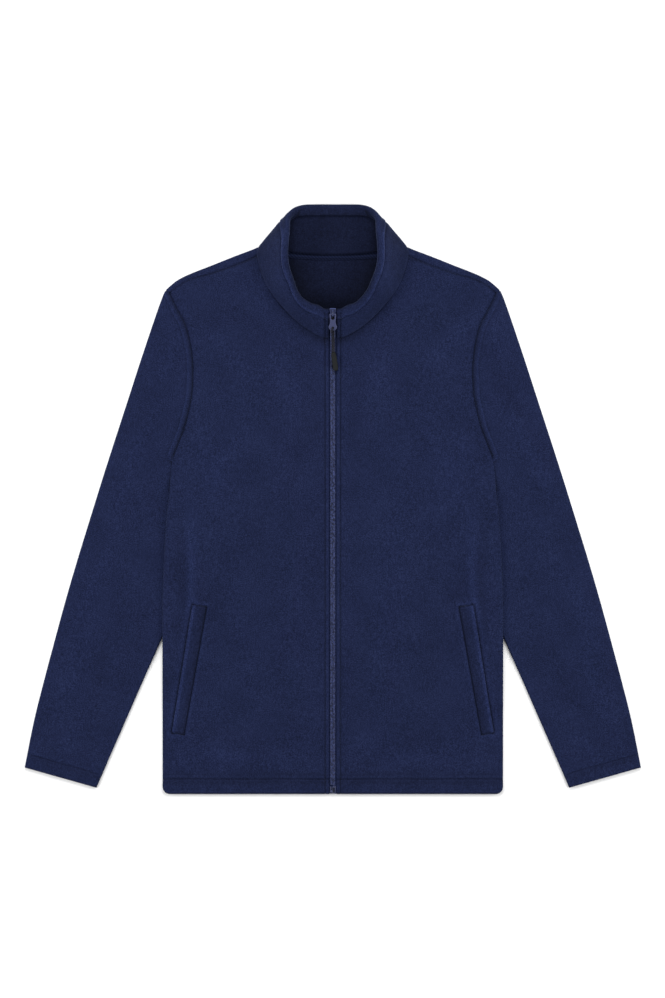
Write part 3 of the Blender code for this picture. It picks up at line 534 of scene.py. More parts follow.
# heights of the middle of each layer of cloth, and how its edges roll
layers = {
    "wall": 2.2, "low": 1.1, "middle": 2.8, "high": 4.5, "fold": 1.7, "edge": 2.8, "gap": 0.3,
    # where the body rides up over a sleeve: how high, how far past it, and over what length it comes down
    "lift": 5.9, "liftMargin": 8.0, "liftRamp": 56.0,
    "liftEnds": (12, 57),     # up the side, where the lift fades out under the arm
}

outline = {
    "hem": -388.5, "corner": 9.0, "lip": 5.0,
    "side": ((224.5, -379.5), (224.6, -300), (224.6, -186), (224.4, -133), (223.3, -97.5), (221.5, -60.5),
             (218.9, -22), (215.7, 5.5), (213.2, 38.5), (210.5, 57)),
    "armhole": ((210.5, 57), (202.6, 76.8), (196.4, 93.1), (191.3, 112.4), (186.6, 134.8), (184.7, 161.2),
                (185.1, 182.4), (188.5, 206.1), (194.2, 228.6), (202.4, 245.1), (209.6, 258.9), (215.6, 272.1)),
    "shoulderFold": ((98.8, 332.5), (106.8, 328.9), (124.5, 322.3), (141.4, 315.7), (157.7, 309.1),
                     (174.8, 302.5), (191.1, 295.9), (204.1, 289.3), (211.3, 284), (217.3, 278.7), (220.6, 275.5)),
    "shoulderSeam": ((99.0, 321.1), (122.5, 310.9), (142.3, 303.4), (162.1, 296.8), (175.3, 293.2),
                     (188.5, 289.3), (201.7, 281.8), (215.6, 272.1)),
    "frontNeck": ((5.0, 211.9), (10.3, 212.4), (17.8, 214.7), (28.2, 220.2), (46.1, 232.9), (64.8, 251.1),
                  (80.3, 270.4), (92.4, 292.7), (98.3, 312.3), (98.9, 321.1)),
    "backNeck": ((0, 321.5), (25, 321.7), (50, 323.6), (75, 327), (97.4, 329.6)),
    "sleeveOuter": ((406.5, -353.8), (394, -291.5), (380.8, -238.7), (366.8, -185.9), (352.4, -133.1),
                    (337, -80.3), (320.8, -27.5), (304.4, 25.3), (288.5, 75)),
    "sleeveCap": ((288.5, 75), (270.3, 130.9), (253.2, 183.7), (235.5, 236.5), (226.2, 262.9), (222.3, 272.4),
                  (220.6, 275.5)),
    "sleeveInner": ((311.8, -380.6), (296.1, -344.3), (273, -291.5), (249.9, -238.7), (226.4, -185.9),
                    (203.5, -133.5), (184, -88), (170.5, -54), (165, -30)),
    "underlapTop": (216.5, 12),
}


def liftAt(x, y):
    # how far the body rides up over the top of the sleeve
    x = np.abs(x)
    ring = [*outline["sleeveInner"][3:], outline["underlapTop"], (300, 12), (300, -238.7)]
    ring = [np.array(p, float) for p in ring]
    inside = np.zeros(np.shape(x), bool)
    for a, b in zip(ring, ring[1:] + ring[:1]):
        if a[1] != b[1]:
            crosses = (a[1] > y) != (b[1] > y)
            inside ^= crosses & (x < a[0] + (y - a[1]) / (b[1] - a[1]) * (b[0] - a[0]))
    away = np.where(inside, 0, awayFrom(ring + ring[:1], x, y))
    fadeFrom, fadeTo = layers["liftEnds"]
    armpit = eased((y - fadeFrom) / (fadeTo - fadeFrom))
    return layers["lift"] * (1 - eased((away - layers["liftMargin"]) / layers["liftRamp"])) * (1 - armpit)


def softFolds(table, x, y):
    # troughs and ridges, each an uneven ellipse: out, up, half length, half width, lean in degrees, height
    rise = 0.0
    for k, (cx, cy, halfLength, halfWidth, lean, height) in enumerate(table):
        c, s = math.cos(math.radians(lean)), math.sin(math.radians(lean))
        dx, dy = x - cx, y - cy
        along, across = (dx * s + dy * c) / halfLength, (dx * c - dy * s) / halfWidth
        across = across + 0.35 * np.sin(along * 2.3 + k * 1.9)
        rise = rise + height * np.exp(-along**2 - across**2)
    return rise


def seamLine():
    # the outline from the middle of the hem's corner up the side and round the armhole
    corner, hem = outline["corner"], outline["hem"]
    centre = np.array((outline["side"][0][0] - corner, hem + corner))
    turn = np.radians(np.linspace(-45, 0, 5)[:-1])
    bend = centre + corner * np.stack([np.cos(turn), np.sin(turn)], -1)
    side, armhole = smoothRun(outline["side"]), smoothRun(outline["armhole"])
    sideSpots = np.linspace(0, 1, 137)
    armholeSpots = np.append(np.linspace(0, 1, 75)[1:-1], (0.9915, 0.9955, 0.998, 1))
    line = np.vstack([bend, side(sideSpots), armhole(armholeSpots)])
    return line, len(bend) + len(sideSpots) - 1     # the row that ends at the armpit


def refineHem(line, armpit):
    # extra rows over the lowest 30 mm, where the hem is turned up and sewn
    fine = [line[0], line[2], line[4]]
    base = outline["side"][0][1]
    for step in (2.5, 5, 7, 8.4, 9.4, 10.2, 11.0, 12.2, 14, 15.4, 16.4, 17.6, 20):
        fine.append(np.array((outline["side"][0][0], base + step)))
    rest = [k for k in range(len(line)) if line[k][1] > base + 23]
    return np.vstack([fine, line[rest]]), len(fine) + (armpit - rest[0])


seam, armpitRow = refineHem(*seamLine())
bodyRows = len(seam) - 1
rowTravel = travelAlong(seam)
rowShare = rowTravel / rowTravel[-1]
cornerRun = 14.0     # mm from the hem's corner in which an edge turns from hem to side
rollTurns = np.radians((14, 28, 42, 56, 70, 82, 90))


def flatEdge():
    # where the flat of a panel ends and its rolled edge starts
    inward = sideways(seam, 1) - seam
    back = np.vstack([seam[1:2] - seam[:1], seam[1:] - seam[:-1]])
    back = -back / np.linalg.norm(back, axis=1)[:, None]
    share = eased(rowTravel / cornerRun)[:, None]
    way = (1 - share) * back + share * inward
    way /= np.linalg.norm(way, axis=1)[:, None]
    return seam + way * layers["edge"]


def runTo(flat, corner):
    # the last rows close straight up on the corner
    first = len(flat) - 6
    share = (rowTravel[first:] - rowTravel[first]) / (rowTravel[-1] - rowTravel[first])
    flat[first:] = flat[first] + (corner - flat[first]) * share[:, None]


def rollShare():
    # 1 where the edge rolls round the side seam, 0 at the hem and beside the armhole
    share = eased(rowTravel / cornerRun)
    fade = eased((rowTravel[armpitRow] - rowTravel) / 40.0)
    return np.where(np.arange(bodyRows + 1) >= armpitRow, 0, share * fade)


def edgeColumns(flat, upper):
    # the rolled columns of a panel, as plan and height
    roll = rollShare()[:, None]
    way = seam - flat
    way /= np.linalg.norm(way, axis=1)[:, None]
    wide = (np.arange(len(rollTurns)) + 1) / len(rollTurns) * (layers["edge"] - layers["gap"] / 2)
    reach = roll * layers["fold"] * np.sin(rollTurns)[None] + (1 - roll) * wide[None]
    drop = roll * layers["fold"] * 0.9 * (1 - np.cos(rollTurns))[None]
    plan = flat[:, None] + way[:, None] * reach[..., None]
    height = layers["high"] - drop if upper else layers["low"] + drop
    return plan, height


def hemEdge(spots, start):
    # the bottom edge at distances from its start: straight, then round the corner
    corner = outline["corner"]
    straight = outline["side"][0][0] - corner - start
    turn = np.clip((spots - straight) / corner, 0, None)
    x = start + np.minimum(spots, straight) + corner * np.sin(turn)
    y = outline["hem"] + corner * (1 - np.cos(turn))
    return np.stack([x, y], -1)


def towardTip(points, count, edgeCount):
    # a line that ends at the sleeve's top: its even part, then the spots of its rolled edge
    run = smoothRun(points)
    whole = np.linalg.norm(np.array(points[-1], float) - np.array(points[0], float))
    short, end = 1 - layers["edge"] / whole, 1 - layers["gap"] / 2 / whole
    flat = run(np.linspace(0, short, count + 1))
    edge = run(short + (end - short) * (np.arange(edgeCount) + 1) / edgeCount)
    return flat, edge


front = {
    "zipStops": (0, 0.5, 1.2, 2.2, 3.2, 4.0, 4.5, 5.0, 5.5, 6.1, 6.8, 7.8, 9.2, 11.0, 13.2),
    "columnStep": 3.3, "shoulderColumns": 29,
    # where the grid is let apart under the neck's steep end: up the rows, and out across the hem
    "loose": {"from": 0.7, "full": 0.85, "out": (22, 42), "back": (160, 195), "times": 120},
    "zipStitch": 10.0, "hemStitch": 19.2, "hemPuckers": (0.22, 4.4, 1.3, 17.0), "puckerFade": 9,
    # relief from the hem's stitching, from the hem, from the zip's stitching and from each seam
    "hemRelief": ((0, -1.15, 1.25), (5.8, -0.4, 1.3)), "hemSwell": ((7, 0.5, 6),), "hemDrop": (0.9, 1.3),
    "zipRelief": ((0, -1.15, 1.15), (-2.4, 0.35, 1.6), (4, 0.25, 2.5), (-5, -0.5, 0.8)),
    "armholeRelief": ((0, -1.7, 2.8), (8, 0.45, 4)), "shoulderRelief": ((0, -1.0, 1.6),),
    # in the same way, how far the colour is darkened by pressed nap and painted shade or, below 0, lightened by
    # painted highlight
    "hemShading": ((0, 0.75, 0.9), (5.8, 0.3, 1.0), (-4.2, 0.28, 3.6), (-17.7, -0.25, 2.0)),
    "zipShading": ((0, 1.0, 1.05), (-2.4, -0.2, 1.4), (-5, 0.1, 0.8)),
    "armholeShading": ((0, 0.4, 1.2),), "shoulderShading": ((0, 0.5, 1.2),),
    "neckShading": (1, 8, 0.12, 0.36),     # painted shade below the collar: how far from the neck, half width, how much, and more at the zip
    "uneven": (0.22, 24), "foldShade": 0.16,
    # both halves, as on the solids
    "formFolds": ((186, -70, 75, 9, 4, 1.3), (205, -60, 70, 9, 2, -0.8), (168, 60, 60, 16, 12, 0.9),
                  (60, 170, 45, 14, 30, 0.8), (120, 235, 60, 18, 55, -0.7), (40, -330, 45, 20, 80, 0.6),
                  (150, -335, 50, 16, 75, 0.7)),
    # each half by itself, by its side
    "creases": {
        1: ((184, -112, 46, 5, -3, 1.7), (196, -108, 60, 6, -2, -1.1), (166, -118, 50, 6, 6, -0.6),
            (150, 40, 70, 8, -22, 0.8), (90, -60, 120, 16, 4, 0.5), (128, -200, 70, 12, -6, -0.5),
            (60, -180, 90, 12, 5, 0.45), (30, 90, 80, 10, 3, -0.5), (150, 200, 50, 9, 40, 0.7),
            (165, 245, 34, 8, 50, -0.6), (80, -350, 60, 9, 84, 0.6), (190, -352, 26, 7, 70, 0.6)),
        -1: ((187, -110, 56, 5, 2, 1.9), (200, -100, 60, 6, 2, -1.2), (170, -120, 44, 7, 6, -0.6),
             (140, 55, 60, 9, -28, 0.7), (100, -40, 110, 14, -3, -0.5), (120, -190, 80, 12, 5, 0.5),
             (48, -160, 100, 12, -4, 0.4), (36, 110, 70, 10, -6, -0.45), (140, 195, 55, 10, 36, 0.65),
             (172, 240, 30, 8, 46, -0.6), (110, -346, 70, 9, 86, 0.55), (200, -350, 22, 7, 60, 0.6)),
    },
}
shadingRange = (-0.9, 1)     # the most painted highlight, and the most darkening by pressed nap and painted shade


welt = {
    "corners": ((184.5, -139.7), (166.6, -142.1), (196.3, -310.8), (211.6, -307.6)), "thick": 1.9,
    "columns": (0, 0.015, 0.04, 0.08, 0.14, 0.24, 0.36, 0.5, 0.64, 0.76, 0.84, 0.90, 0.94, 0.97, 0.99, 1.0),
    "ends": (0, 0.9, 2.0, 3.2, 4.6, 6.5, 9.0), "rows": 56, "finerWithin": 7.5,
    # how far the welt's colour is darkened by pressed nap and painted shade, from each of its sides; below 0 a
    # painted highlight along its free edge
    "innerShading": ((0, 0.95, 1.2), (4, 0.3, 4.5)), "endShading": ((0, 0.7, 0.9),),
    "outerShading": ((1.6, -0.9, 1.9),),
    # the front's cloth round the welt, from its sewn sides and from its free edge; its colour gets painted shadow
    # beside the free edge and painted highlight beside the seams
    "sewnRelief": ((2.6, 0.9, 1.9), (0, -0.8, 1.0)), "freeRelief": ((0, -1.1, 3.2),),
    "sewnShading": ((0, 0.95, 1.3), (3.4, -0.35, 1.5)), "freeShading": ((0.5, 0.9, 2.2), (6, -0.3, 2.6)),
}


def weltHollow(x, y):
    # the front's cut edge stands up round the welt's sewn sides; it drops away beside the free edge
    outerTop, innerTop, innerFoot, outerFoot = welt["corners"]
    sewn = awayFrom((outerTop, innerTop, innerFoot, outerFoot), x, y)
    free = awayFrom((outerTop, outerFoot), x, y)
    near = eased((free - 1) / 5)
    rise = ridges(sewn, welt["sewnRelief"]) * near + ridges(free, welt["freeRelief"])
    # painted shadow beside the free edge and painted highlight beside the sewn sides, with the nap pressed along
    # the seams
    pressed = ridges(sewn, welt["sewnShading"]) * near + ridges(free, welt["freeShading"])
    return rise, np.clip(pressed, *shadingRange)


def frontRelief(x, y, side):
    # height of the middle of the front's cloth, and how far its colour is darkened by pressed nap and painted shade
    # or lightened by painted highlight; x is on the + half
    neck, armhole = smoothRun(outline["frontNeck"])(np.linspace(0, 1, 60)), seam[armpitRow:]
    shoulder = smoothRun(outline["shoulderSeam"])(np.linspace(0, 1, 30))
    sideLine = seam[:armpitRow + 1]
    fromNeck, fromArmhole = awayFrom(neck, x, y), awayFrom(armhole, x, y)
    fromShoulder, fromSide = awayFrom(shoulder, x, y), awayFrom(sideLine, x, y)
    fromHem, fromZip = y - outline["hem"], x - outline["lip"]
    border = np.minimum.reduce([fromNeck, fromArmhole, fromShoulder, fromSide, fromHem, fromZip])
    folds = softFolds(front["formFolds"], x, y) * eased(border / 45)
    folds = folds + softFolds(front["creases"][side], x, y) * eased(border / 16)
    uneven, unevenMm = front["uneven"]
    rise = folds + uneven * softNoise(x, y, unevenMm, 0.6 + side) * eased(border / 20)
    fromStitch, fromZipStitch = fromHem - front["hemStitch"], x - front["zipStitch"]
    drop, dropMm = front["hemDrop"]
    hem = eased((fromSide - 1) / 5) * (
        ridges(fromStitch, front["hemRelief"])
        + puckers(x, front["hemPuckers"], side) * np.exp(-(fromStitch / front["puckerFade"]) ** 2))
    hem = hem + ridges(fromHem, front["hemSwell"]) - drop * np.exp(-fromHem / dropMm)
    zipEdge = ridges(fromZipStitch, front["zipRelief"]) * eased(fromHem / 3)
    seams = ridges(fromArmhole, front["armholeRelief"]) + ridges(fromShoulder, front["shoulderRelief"])
    hollow, weltShading = weltHollow(x, y)
    neckAway, neckWide, neckDark, zipDark = front["neckShading"]
    pressed = (ridges(fromStitch, front["hemShading"]) + ridges(fromZipStitch, front["zipShading"])
               + ridges(fromArmhole, front["armholeShading"]) + ridges(fromShoulder, front["shoulderShading"])
               + ridges(fromNeck, ((neckAway, neckDark + zipDark * eased((78 - x) / 60), neckWide),)))
    # painted shade in the folds' troughs and painted highlight on their ridges
    pressed = np.clip(pressed, *shadingRange) + weltShading - front["foldShade"] * folds
    return (layers["high"] + liftAt(x, y) + rise + hem + zipEdge + seams + hollow,
            np.clip(pressed, *shadingRange))


def frontHeight(x, y, side):
    return frontRelief(x, y, side)[0]


def hemReach(start):
    # how far along the hem from its start the flat of a panel goes
    corner = outline["corner"]
    straight = outline["side"][0][0] - corner - start
    return straight + corner * (math.pi / 4 - layers["edge"] / corner)


def centreEdge(out, top):
    # a panel's straight edge at the centre, from the hem to its top
    return np.stack([np.full(bodyRows + 1, out), outline["hem"] + (top - outline["hem"]) * rowShare], -1)


def letApart(plan, across):
    # where the grid is loose its points settle between their neighbours, so that no cell folds over
    made = front["loose"]
    (start, full), (fade, end) = made["out"], made["back"]
    up = eased((rowShare - made["from"]) / (made["full"] - made["from"]))[:, None]
    loose = up * eased((across - start) / (full - start)) * (1 - eased((across - fade) / (end - fade)))
    for _ in range(made["times"]):
        around = (plan[:-2, 1:-1] + plan[2:, 1:-1] + plan[1:-1, :-2] + plan[1:-1, 2:]) / 4
        plan[1:-1, 1:-1] += loose[1:-1, 1:-1, None] * (around - plan[1:-1, 1:-1])


def frontPanel(side):
    zipStops, shoulderCount = np.array(front["zipStops"]), front["shoulderColumns"]
    flat = flatEdge()
    start = outline["lip"]
    neckRun = smoothRun(outline["frontNeck"])
    shoulder = np.vstack(towardTip(outline["shoulderSeam"], shoulderCount, len(rollTurns)))
    across = stops(zipStops, hemReach(start), front["columnStep"])
    even = len(across) - shoulderCount - len(zipStops)
    neckSpots = np.concatenate([zipStops, np.linspace(zipStops[-1], neckRun.length, even + 1)[1:]])
    neck = sideways(neckRun(neckSpots / neckRun.length), -0.1)
    neck[0, 0] = start
    shoulder = sideways(shoulder, -layers["gap"] / 2)
    top = np.vstack([neck[:-1], shoulder[:shoulderCount + 1]])
    runTo(flat, top[-1])
    bottom = hemEdge(across, start)
    flat[0] = bottom[-1]
    plan = filled(centreEdge(start, top[0, 1]), flat, bottom, top, across / across[-1],
                  rowShare ** 3)     # the neck's shape fades out soon below it
    letApart(plan, across)
    edgePlan, edgeHeight = edgeColumns(flat, True)
    edgePlan[-1] = shoulder[shoulderCount + 1:]
    plan = np.concatenate([plan, edgePlan], 1)
    height, pressed = frontRelief(plan[..., 0], plan[..., 1], side)
    height[:, -edgeHeight.shape[1]:] += edgeHeight - layers["high"]
    points = np.concatenate([plan, height[..., None], pressed[..., None]], -1)
    points[..., 0] *= side

    def nearWelt(x, y):
        return awayFrom((*welt["corners"], welt["corners"][0]), abs(x), y) < welt["finerWithin"]

    name = sideWord[side]
    piece = clothPiece("fleeceFront_" + name, points, layers["wall"], fleece, ("front_" + name,),
                       finer=(nearWelt, lambda x, y: frontRelief(np.abs(x), y, side)))


for side in sideWord:
    frontPanel(side)
print("fronts ready")


# painted shade on the cloth seen through the neck, darker the nearer it is to the collar's front edge
neckMouth = {
    "line": ((59, 350), (59, 313), (54, 295), (44.6, 276), (36.7, 263), (22, 256), (0, 252)),
    "dark": 0.78, "fade": 24, "lighterAbove": (295, 320, 0.25), "onlyAbove": 150,
}


def neckShade(x, y):
    away = awayFrom(neckMouth["line"], np.abs(x), y)
    start, end, lighter = neckMouth["lighterAbove"]
    shade = neckMouth["dark"] * np.exp(-(away / neckMouth["fade"]) ** 1.3)
    return shade * (1 - lighter * eased((y - start) / (end - start))) * (y > neckMouth["onlyAbove"])


back = {
    "turns": (0, 22, 45, 67, 90, 112, 135, 158, 180), "neckColumns": 26, "shoulderColumns": 36,
    # the strip that comes over the shoulder: its rows from fold to seam, its relief, and its shading from pressed
    # nap and painted shade, from the seam
    "overRows": (0.3, 0.5, 0.66, 0.78, 0.87, 0.94, 1.0),
    "overRelief": ((0, -1.0, 1.6), (4, 0.3, 2)), "overShading": ((0, 0.6, 1.3),),
}


# the top of the sleeve, from the shoulder's fold to the armhole's end
tipFrom, tipTo = np.array(outline["shoulderFold"][-1]), np.array(outline["armhole"][-1])


def backPanel():
    flat = flatEdge()
    edgeCount, neckCount, shoulderCount = len(rollTurns), back["neckColumns"], back["shoulderColumns"]
    fold, foldEdge = towardTip(outline["shoulderFold"], shoulderCount, edgeCount)
    rim = np.vstack([fold, foldEdge])
    inward = sideways(rim, -1) - rim
    tip = tipTo - tipFrom
    inset = np.linalg.norm(tip)
    for k in range(1, edgeCount + 1):
        mixed = inward[-1 - edgeCount] * (1 - k / edgeCount) + tip / inset * k / edgeCount
        inward[k - 1 - edgeCount] = mixed / np.linalg.norm(mixed)
    over = np.vstack(towardTip(outline["shoulderSeam"], shoulderCount, edgeCount))
    over = sideways(over, layers["gap"] / 2)
    neck = sideways(smoothRun(outline["backNeck"])(np.linspace(0, 1, neckCount + 1)), -layers["gap"] / 2)
    neck[0, 0] = 0
    belowFold = rim + inward * inset
    top = np.vstack([neck[:-1], belowFold[:shoulderCount + 1]])
    columns = len(top) - 1
    u = np.linspace(0, 1, columns + 1)
    runTo(flat, top[-1])
    bottom = hemEdge(u * hemReach(0), 0.0)
    flat[0] = bottom[-1]
    plan = filled(centreEdge(0.0, top[0, 1]), flat, bottom, top, u, rowShare)
    edgePlan, edgeHeight = edgeColumns(flat, False)
    edgePlan[-1] = belowFold[shoulderCount + 1:]
    plan = np.concatenate([plan, edgePlan], 1)
    x, y = plan[..., 0], plan[..., 1]
    height = np.full(x.shape, layers["low"]) + liftAt(x, y)
    height[:, columns + 1:] += edgeHeight - layers["low"]
    # the lower layer carries the painted shade inside the neck
    lower = np.concatenate([plan, height[..., None], np.clip(neckShade(x, y), 0, 1)[..., None]], -1)
    turned = []
    for degrees in back["turns"]:
        turn = math.radians(degrees)
        spot = rim + inward * (layers["edge"] - layers["fold"] * math.sin(turn))
        low = np.full(len(rim), layers["middle"] - layers["fold"] * math.cos(turn))
        turned.append(np.column_stack([spot, low, np.zeros(len(rim))]))
    under = turned[-1][:, :2]
    for share in back["overRows"]:
        spot = under + (over - under) * share
        away = (1 - share) * np.linalg.norm(over - under, axis=1)
        low = layers["high"] + ridges(away, back["overRelief"])
        turned.append(np.column_stack([spot, low, ridges(away, back["overShading"])]))
    turned = np.array(turned)
    blank = np.repeat(turned[:, :1], neckCount, axis=1)
    half = np.concatenate([lower, np.concatenate([blank, turned], 1)], 0)
    mirrored = half[:, :0:-1] * (-1, 1, 1, 1)
    points = np.concatenate([mirrored, half], 1)
    middle = half.shape[1] - 1

    def missing(column, row):
        return row > bodyRows and abs(column - middle) < neckCount

    piece = clothPiece("fleeceBack", points, layers["wall"], fleece, ("back",), missing,
                       shadedFace=fleeceShadedInside)


backPanel()
print("back ready")


sleeveCut = {
    # columns of a layer: under the body, then the rest as shares of the sleeve's width
    "underColumns": 12, "mainStep": 0.028,
    "mainStops": (0, 0.006, 0.013, 0.021, 0.030, 0.040, 0.048, 0.055, 0.062, 0.069, 0.077, 0.088, 0.102),
    "turns": (0, 15, 30, 45, 60, 75, 90),
    "cuffRows": (0, 0.8, 2.2, 5, 9, 13, 15.5, 17, 18, 19, 20.5, 23, 27), "rowStep": 3.4, "lastShare": 0.009,
    # the edge that slips in under the body below the armpit
    "besideRows": 15, "besideMiddle": (213.9, 30), "besideGap": 0.45, "tuck": 1.6, "tipGap": 0.24,
    "cuffStitch": 18.0, "cuffPuckers": (0.2, 4.0, 1.1, 13.0), "puckerFade": 8, "sewnDip": 0.75,
    "uneven": (0.22, 22), "foldShade": 0.14,
    # relief from the cuff's stitching, from the cuff and from the armhole, whose turned edges make a band
    "cuffRelief": ((0, -1.0, 1.35),), "cuffSwell": ((8, 0.35, 5),), "cuffDrop": (0.6, 1.2),
    "armholeRelief": ((0, -1.2, 1.3), (9, -0.3, 2.5)), "bandHigh": 1.3,
    # how far the colour is darkened by pressed nap and painted shade from each of them, and from the sleeve's own
    # edges; below 0 it is lightened by painted highlight
    "cuffStitchShading": ((0, 0.6, 0.95), (2.5, -0.25, 1.2)), "cuffShade": ((-4, 0.2, 3.0),),
    "armholeShading": ((0, 0.5, 1.2), (6.0, -0.6, 1.1), (8.2, 0.3, 1.3)),
    "besideShading": ((0, 0.5, 3.0),), "edgeShading": ((0, -0.12, 4.0),),
    "creases": {
        1: ((318, -120, 70, 9, -22, 0.9), (300, -60, 80, 10, -20, -0.7), (260, 60, 70, 9, -28, 0.9),
            (240, 120, 60, 8, -24, -0.7), (352, -250, 80, 9, -16, 0.7), (300, -230, 70, 9, -30, -0.6),
            (330, -330, 40, 8, -40, 0.7), (222, 190, 40, 7, -10, 0.6)),
        -1: ((310, -100, 80, 9, -18, 0.9), (292, -40, 70, 10, -26, -0.8), (268, 30, 80, 9, -20, 0.8),
             (236, 130, 50, 8, -30, -0.6), (345, -230, 70, 9, -22, 0.6), (312, -260, 60, 9, -12, -0.7),
             (346, -320, 44, 8, -30, 0.7), (218, 180, 50, 7, -14, 0.55)),
    },
}
cuffLines = []     # where the cuffs are sewn, for the topstitching


def sleeve(side):
    made = sleeveCut
    outerRun, innerRun = smoothRun(outline["sleeveOuter"]), smoothRun(outline["sleeveInner"])
    long = outerRun.length
    spots = stops(np.array(made["cuffRows"]) / long, 1 - made["lastShare"], made["rowStep"] / long)
    spots = np.append(spots, 1.0)
    closeRow = len(spots) - 1     # at the armpit: above it the sleeve has no inner edge of its own
    outer, inner = outerRun(spots), innerRun(spots)
    slip = np.linspace(0, 1, made["besideRows"])
    beside = smoothRun((outline["underlapTop"], made["besideMiddle"], outline["side"][-1]))(slip)
    tucked = made["tuck"] * np.sin(np.clip(slip, 0.5, 1) * math.pi)[:, None]
    beside = sideways(beside, -made["besideGap"]) + tucked * (sideways(beside, 1) - beside)
    armhole = seam[armpitRow:]
    mouth = np.vstack([beside, sideways(armhole, -layers["gap"] / 2)[1:]])
    mouthTravel = travelAlong(mouth)
    cap = smoothRun(outline["sleeveCap"])(mouthTravel / mouthTravel[-1])
    tipWay = (tipFrom - tipTo) / np.linalg.norm(tipFrom - tipTo)
    shortOfTip = made["tipGap"] * np.array((tipWay[1], -tipWay[0]))
    mouth[-1] = tipTo + shortOfTip
    cap[-1] = tipFrom + shortOfTip
    edge = np.vstack([outer, cap[1:]])
    inFromEdge = sideways(edge, 1) - edge
    inFromEdge[-1] = -tipWay
    inFromInner = sideways(inner, -1) - inner
    underCount = made["underColumns"]
    mainShare = stops(np.array(made["mainStops"]), 1.0, made["mainStep"])
    shareAtMouth = (np.linalg.norm(np.array(outline["underlapTop"]) - inner[-1])
                    / np.linalg.norm(outer[-1] - inner[-1]))
    share = np.concatenate([shareAtMouth * np.arange(underCount) / underCount,
                            shareAtMouth + (1 - shareAtMouth) * mainShare])
    turns = np.radians(made["turns"])
    turnOut, turnIn = np.sin(turns[1:])[:, None], np.sin(turns[:0:-1])[:, None]
    bent = layers["fold"] * np.concatenate([np.cos(turns[:0:-1]), np.ones(len(share)), np.cos(turns[1:])])
    cuffWay = outer[0] - inner[0]
    wayUp = np.array((-cuffWay[1], cuffWay[0])) / np.linalg.norm(cuffWay)
    uneven, unevenMm = made["uneven"]
    drop, dropMm = made["cuffDrop"]
    points = []
    for row in range(len(edge)):
        rowIn = min(row, closeRow)
        end = edge[row] + inFromEdge[row] * layers["edge"]
        if row > closeRow:
            start = mouth[row - closeRow]
            across = start + (end - start) * mainShare[:, None]
            flat = np.vstack([np.repeat(start[None], underCount, 0), across])
        else:
            start = inner[row] + inFromInner[row] * layers["edge"]
            flat = start + (end - start) * share[:, None]
            if row == closeRow:
                flat[underCount] = mouth[0]
        innerTurn = inner[rowIn] + inFromInner[rowIn] * (layers["edge"] - layers["fold"] * turnIn)
        outerTurn = edge[row] + inFromEdge[row] * (layers["edge"] - layers["fold"] * turnOut)
        plan = np.vstack([innerTurn, flat, outerTurn])
        height = bent.copy()
        if row == closeRow:
            height[:len(turns) - 1 + underCount] = 0
        x, y = plan[:, 0], plan[:, 1]
        lower = np.stack([x, y, layers["middle"] - height, np.zeros(len(x))], -1)
        fromEdges = np.minimum(awayFrom(edge, x, y), awayFrom(inner, x, y))
        fromArmhole = awayFrom(armhole, x, y)
        fromBeside = np.minimum(fromArmhole, awayFrom(beside, x, y))
        fromCuff = (x - inner[0, 0]) * wayUp[0] + (y - inner[0, 1]) * wayUp[1]
        fromStitch = fromCuff - made["cuffStitch"]
        clear = (eased((fromEdges - 2) / 14) * eased(fromBeside / 14)
                 * eased((awayFrom(outline["sleeveInner"][5:], x, y) - 8) / 20))
        inwards, aboveArmpit = eased((fromEdges - 1) / 5), eased((row - closeRow) / 3.0)
        folds = softFolds(made["creases"][side], x, y) * clear
        rise = folds + uneven * softNoise(x, y, unevenMm, 1.7 + side) * clear
        rise = rise + inwards * (ridges(fromStitch, made["cuffRelief"])
                                 + puckers(x, made["cuffPuckers"], side)
                                 * np.exp(-(fromStitch / made["puckerFade"]) ** 2))
        rise = rise + ridges(fromCuff, made["cuffSwell"]) - drop * np.exp(-fromCuff / dropMm)
        band = eased((fromArmhole - 0.2) / 2.2) * (1 - eased((fromArmhole - 4.8) / 1.8))
        ridge = made["bandHigh"] * band + ridges(fromArmhole, made["armholeRelief"])
        rise = rise + ridge * aboveArmpit * eased(fromEdges / 4)
        pressed = (ridges(fromStitch, made["cuffStitchShading"]) * inwards + ridges(fromStitch, made["cuffShade"])
                   + ridges(fromArmhole, made["armholeShading"]) * aboveArmpit
                   + ridges(fromBeside, made["besideShading"]) + ridges(fromEdges, made["edgeShading"]))
        pressed = np.clip(pressed, *shadingRange) - made["foldShade"] * folds
        upper = np.stack([x, y, layers["middle"] + height + rise * (height > 0.4), pressed], -1)
        closing = inner[rowIn] + inFromInner[rowIn] * (layers["edge"] - layers["fold"])
        join = np.array([[*closing, layers["middle"], 0]])
        # round the ring: inner edge, top layer, outer edge, bottom layer, inner edge
        points.append(np.vstack([join, upper, lower[-2::-1], join]))
    points = np.array(points)
    points[..., 0] *= side
    width = len(turns) + underCount
    ring = points.shape[1] - 1

    def missing(column, row):
        return row > closeRow and min(column, ring - column) < width

    sewn = inner[0] + cuffWay * np.linspace(0.03, 0.97, 60)[:, None] + wayUp * made["cuffStitch"]
    high = layers["high"] - made["sewnDip"] + puckers(sewn[:, 0], made["cuffPuckers"], side) + stitch["rise"]
    cuffLines.append(np.concatenate([sewn, high[:, None]], 1) * (side, 1, 1))
    name = sideWord[side]
    piece = clothPiece("fleeceSleeve_" + name, points, layers["wall"], sleeveFleece[side],
                       ("sleeve_" + name,), missing)


for side in sideWord:
    sleeve(side)
print("sleeves ready")


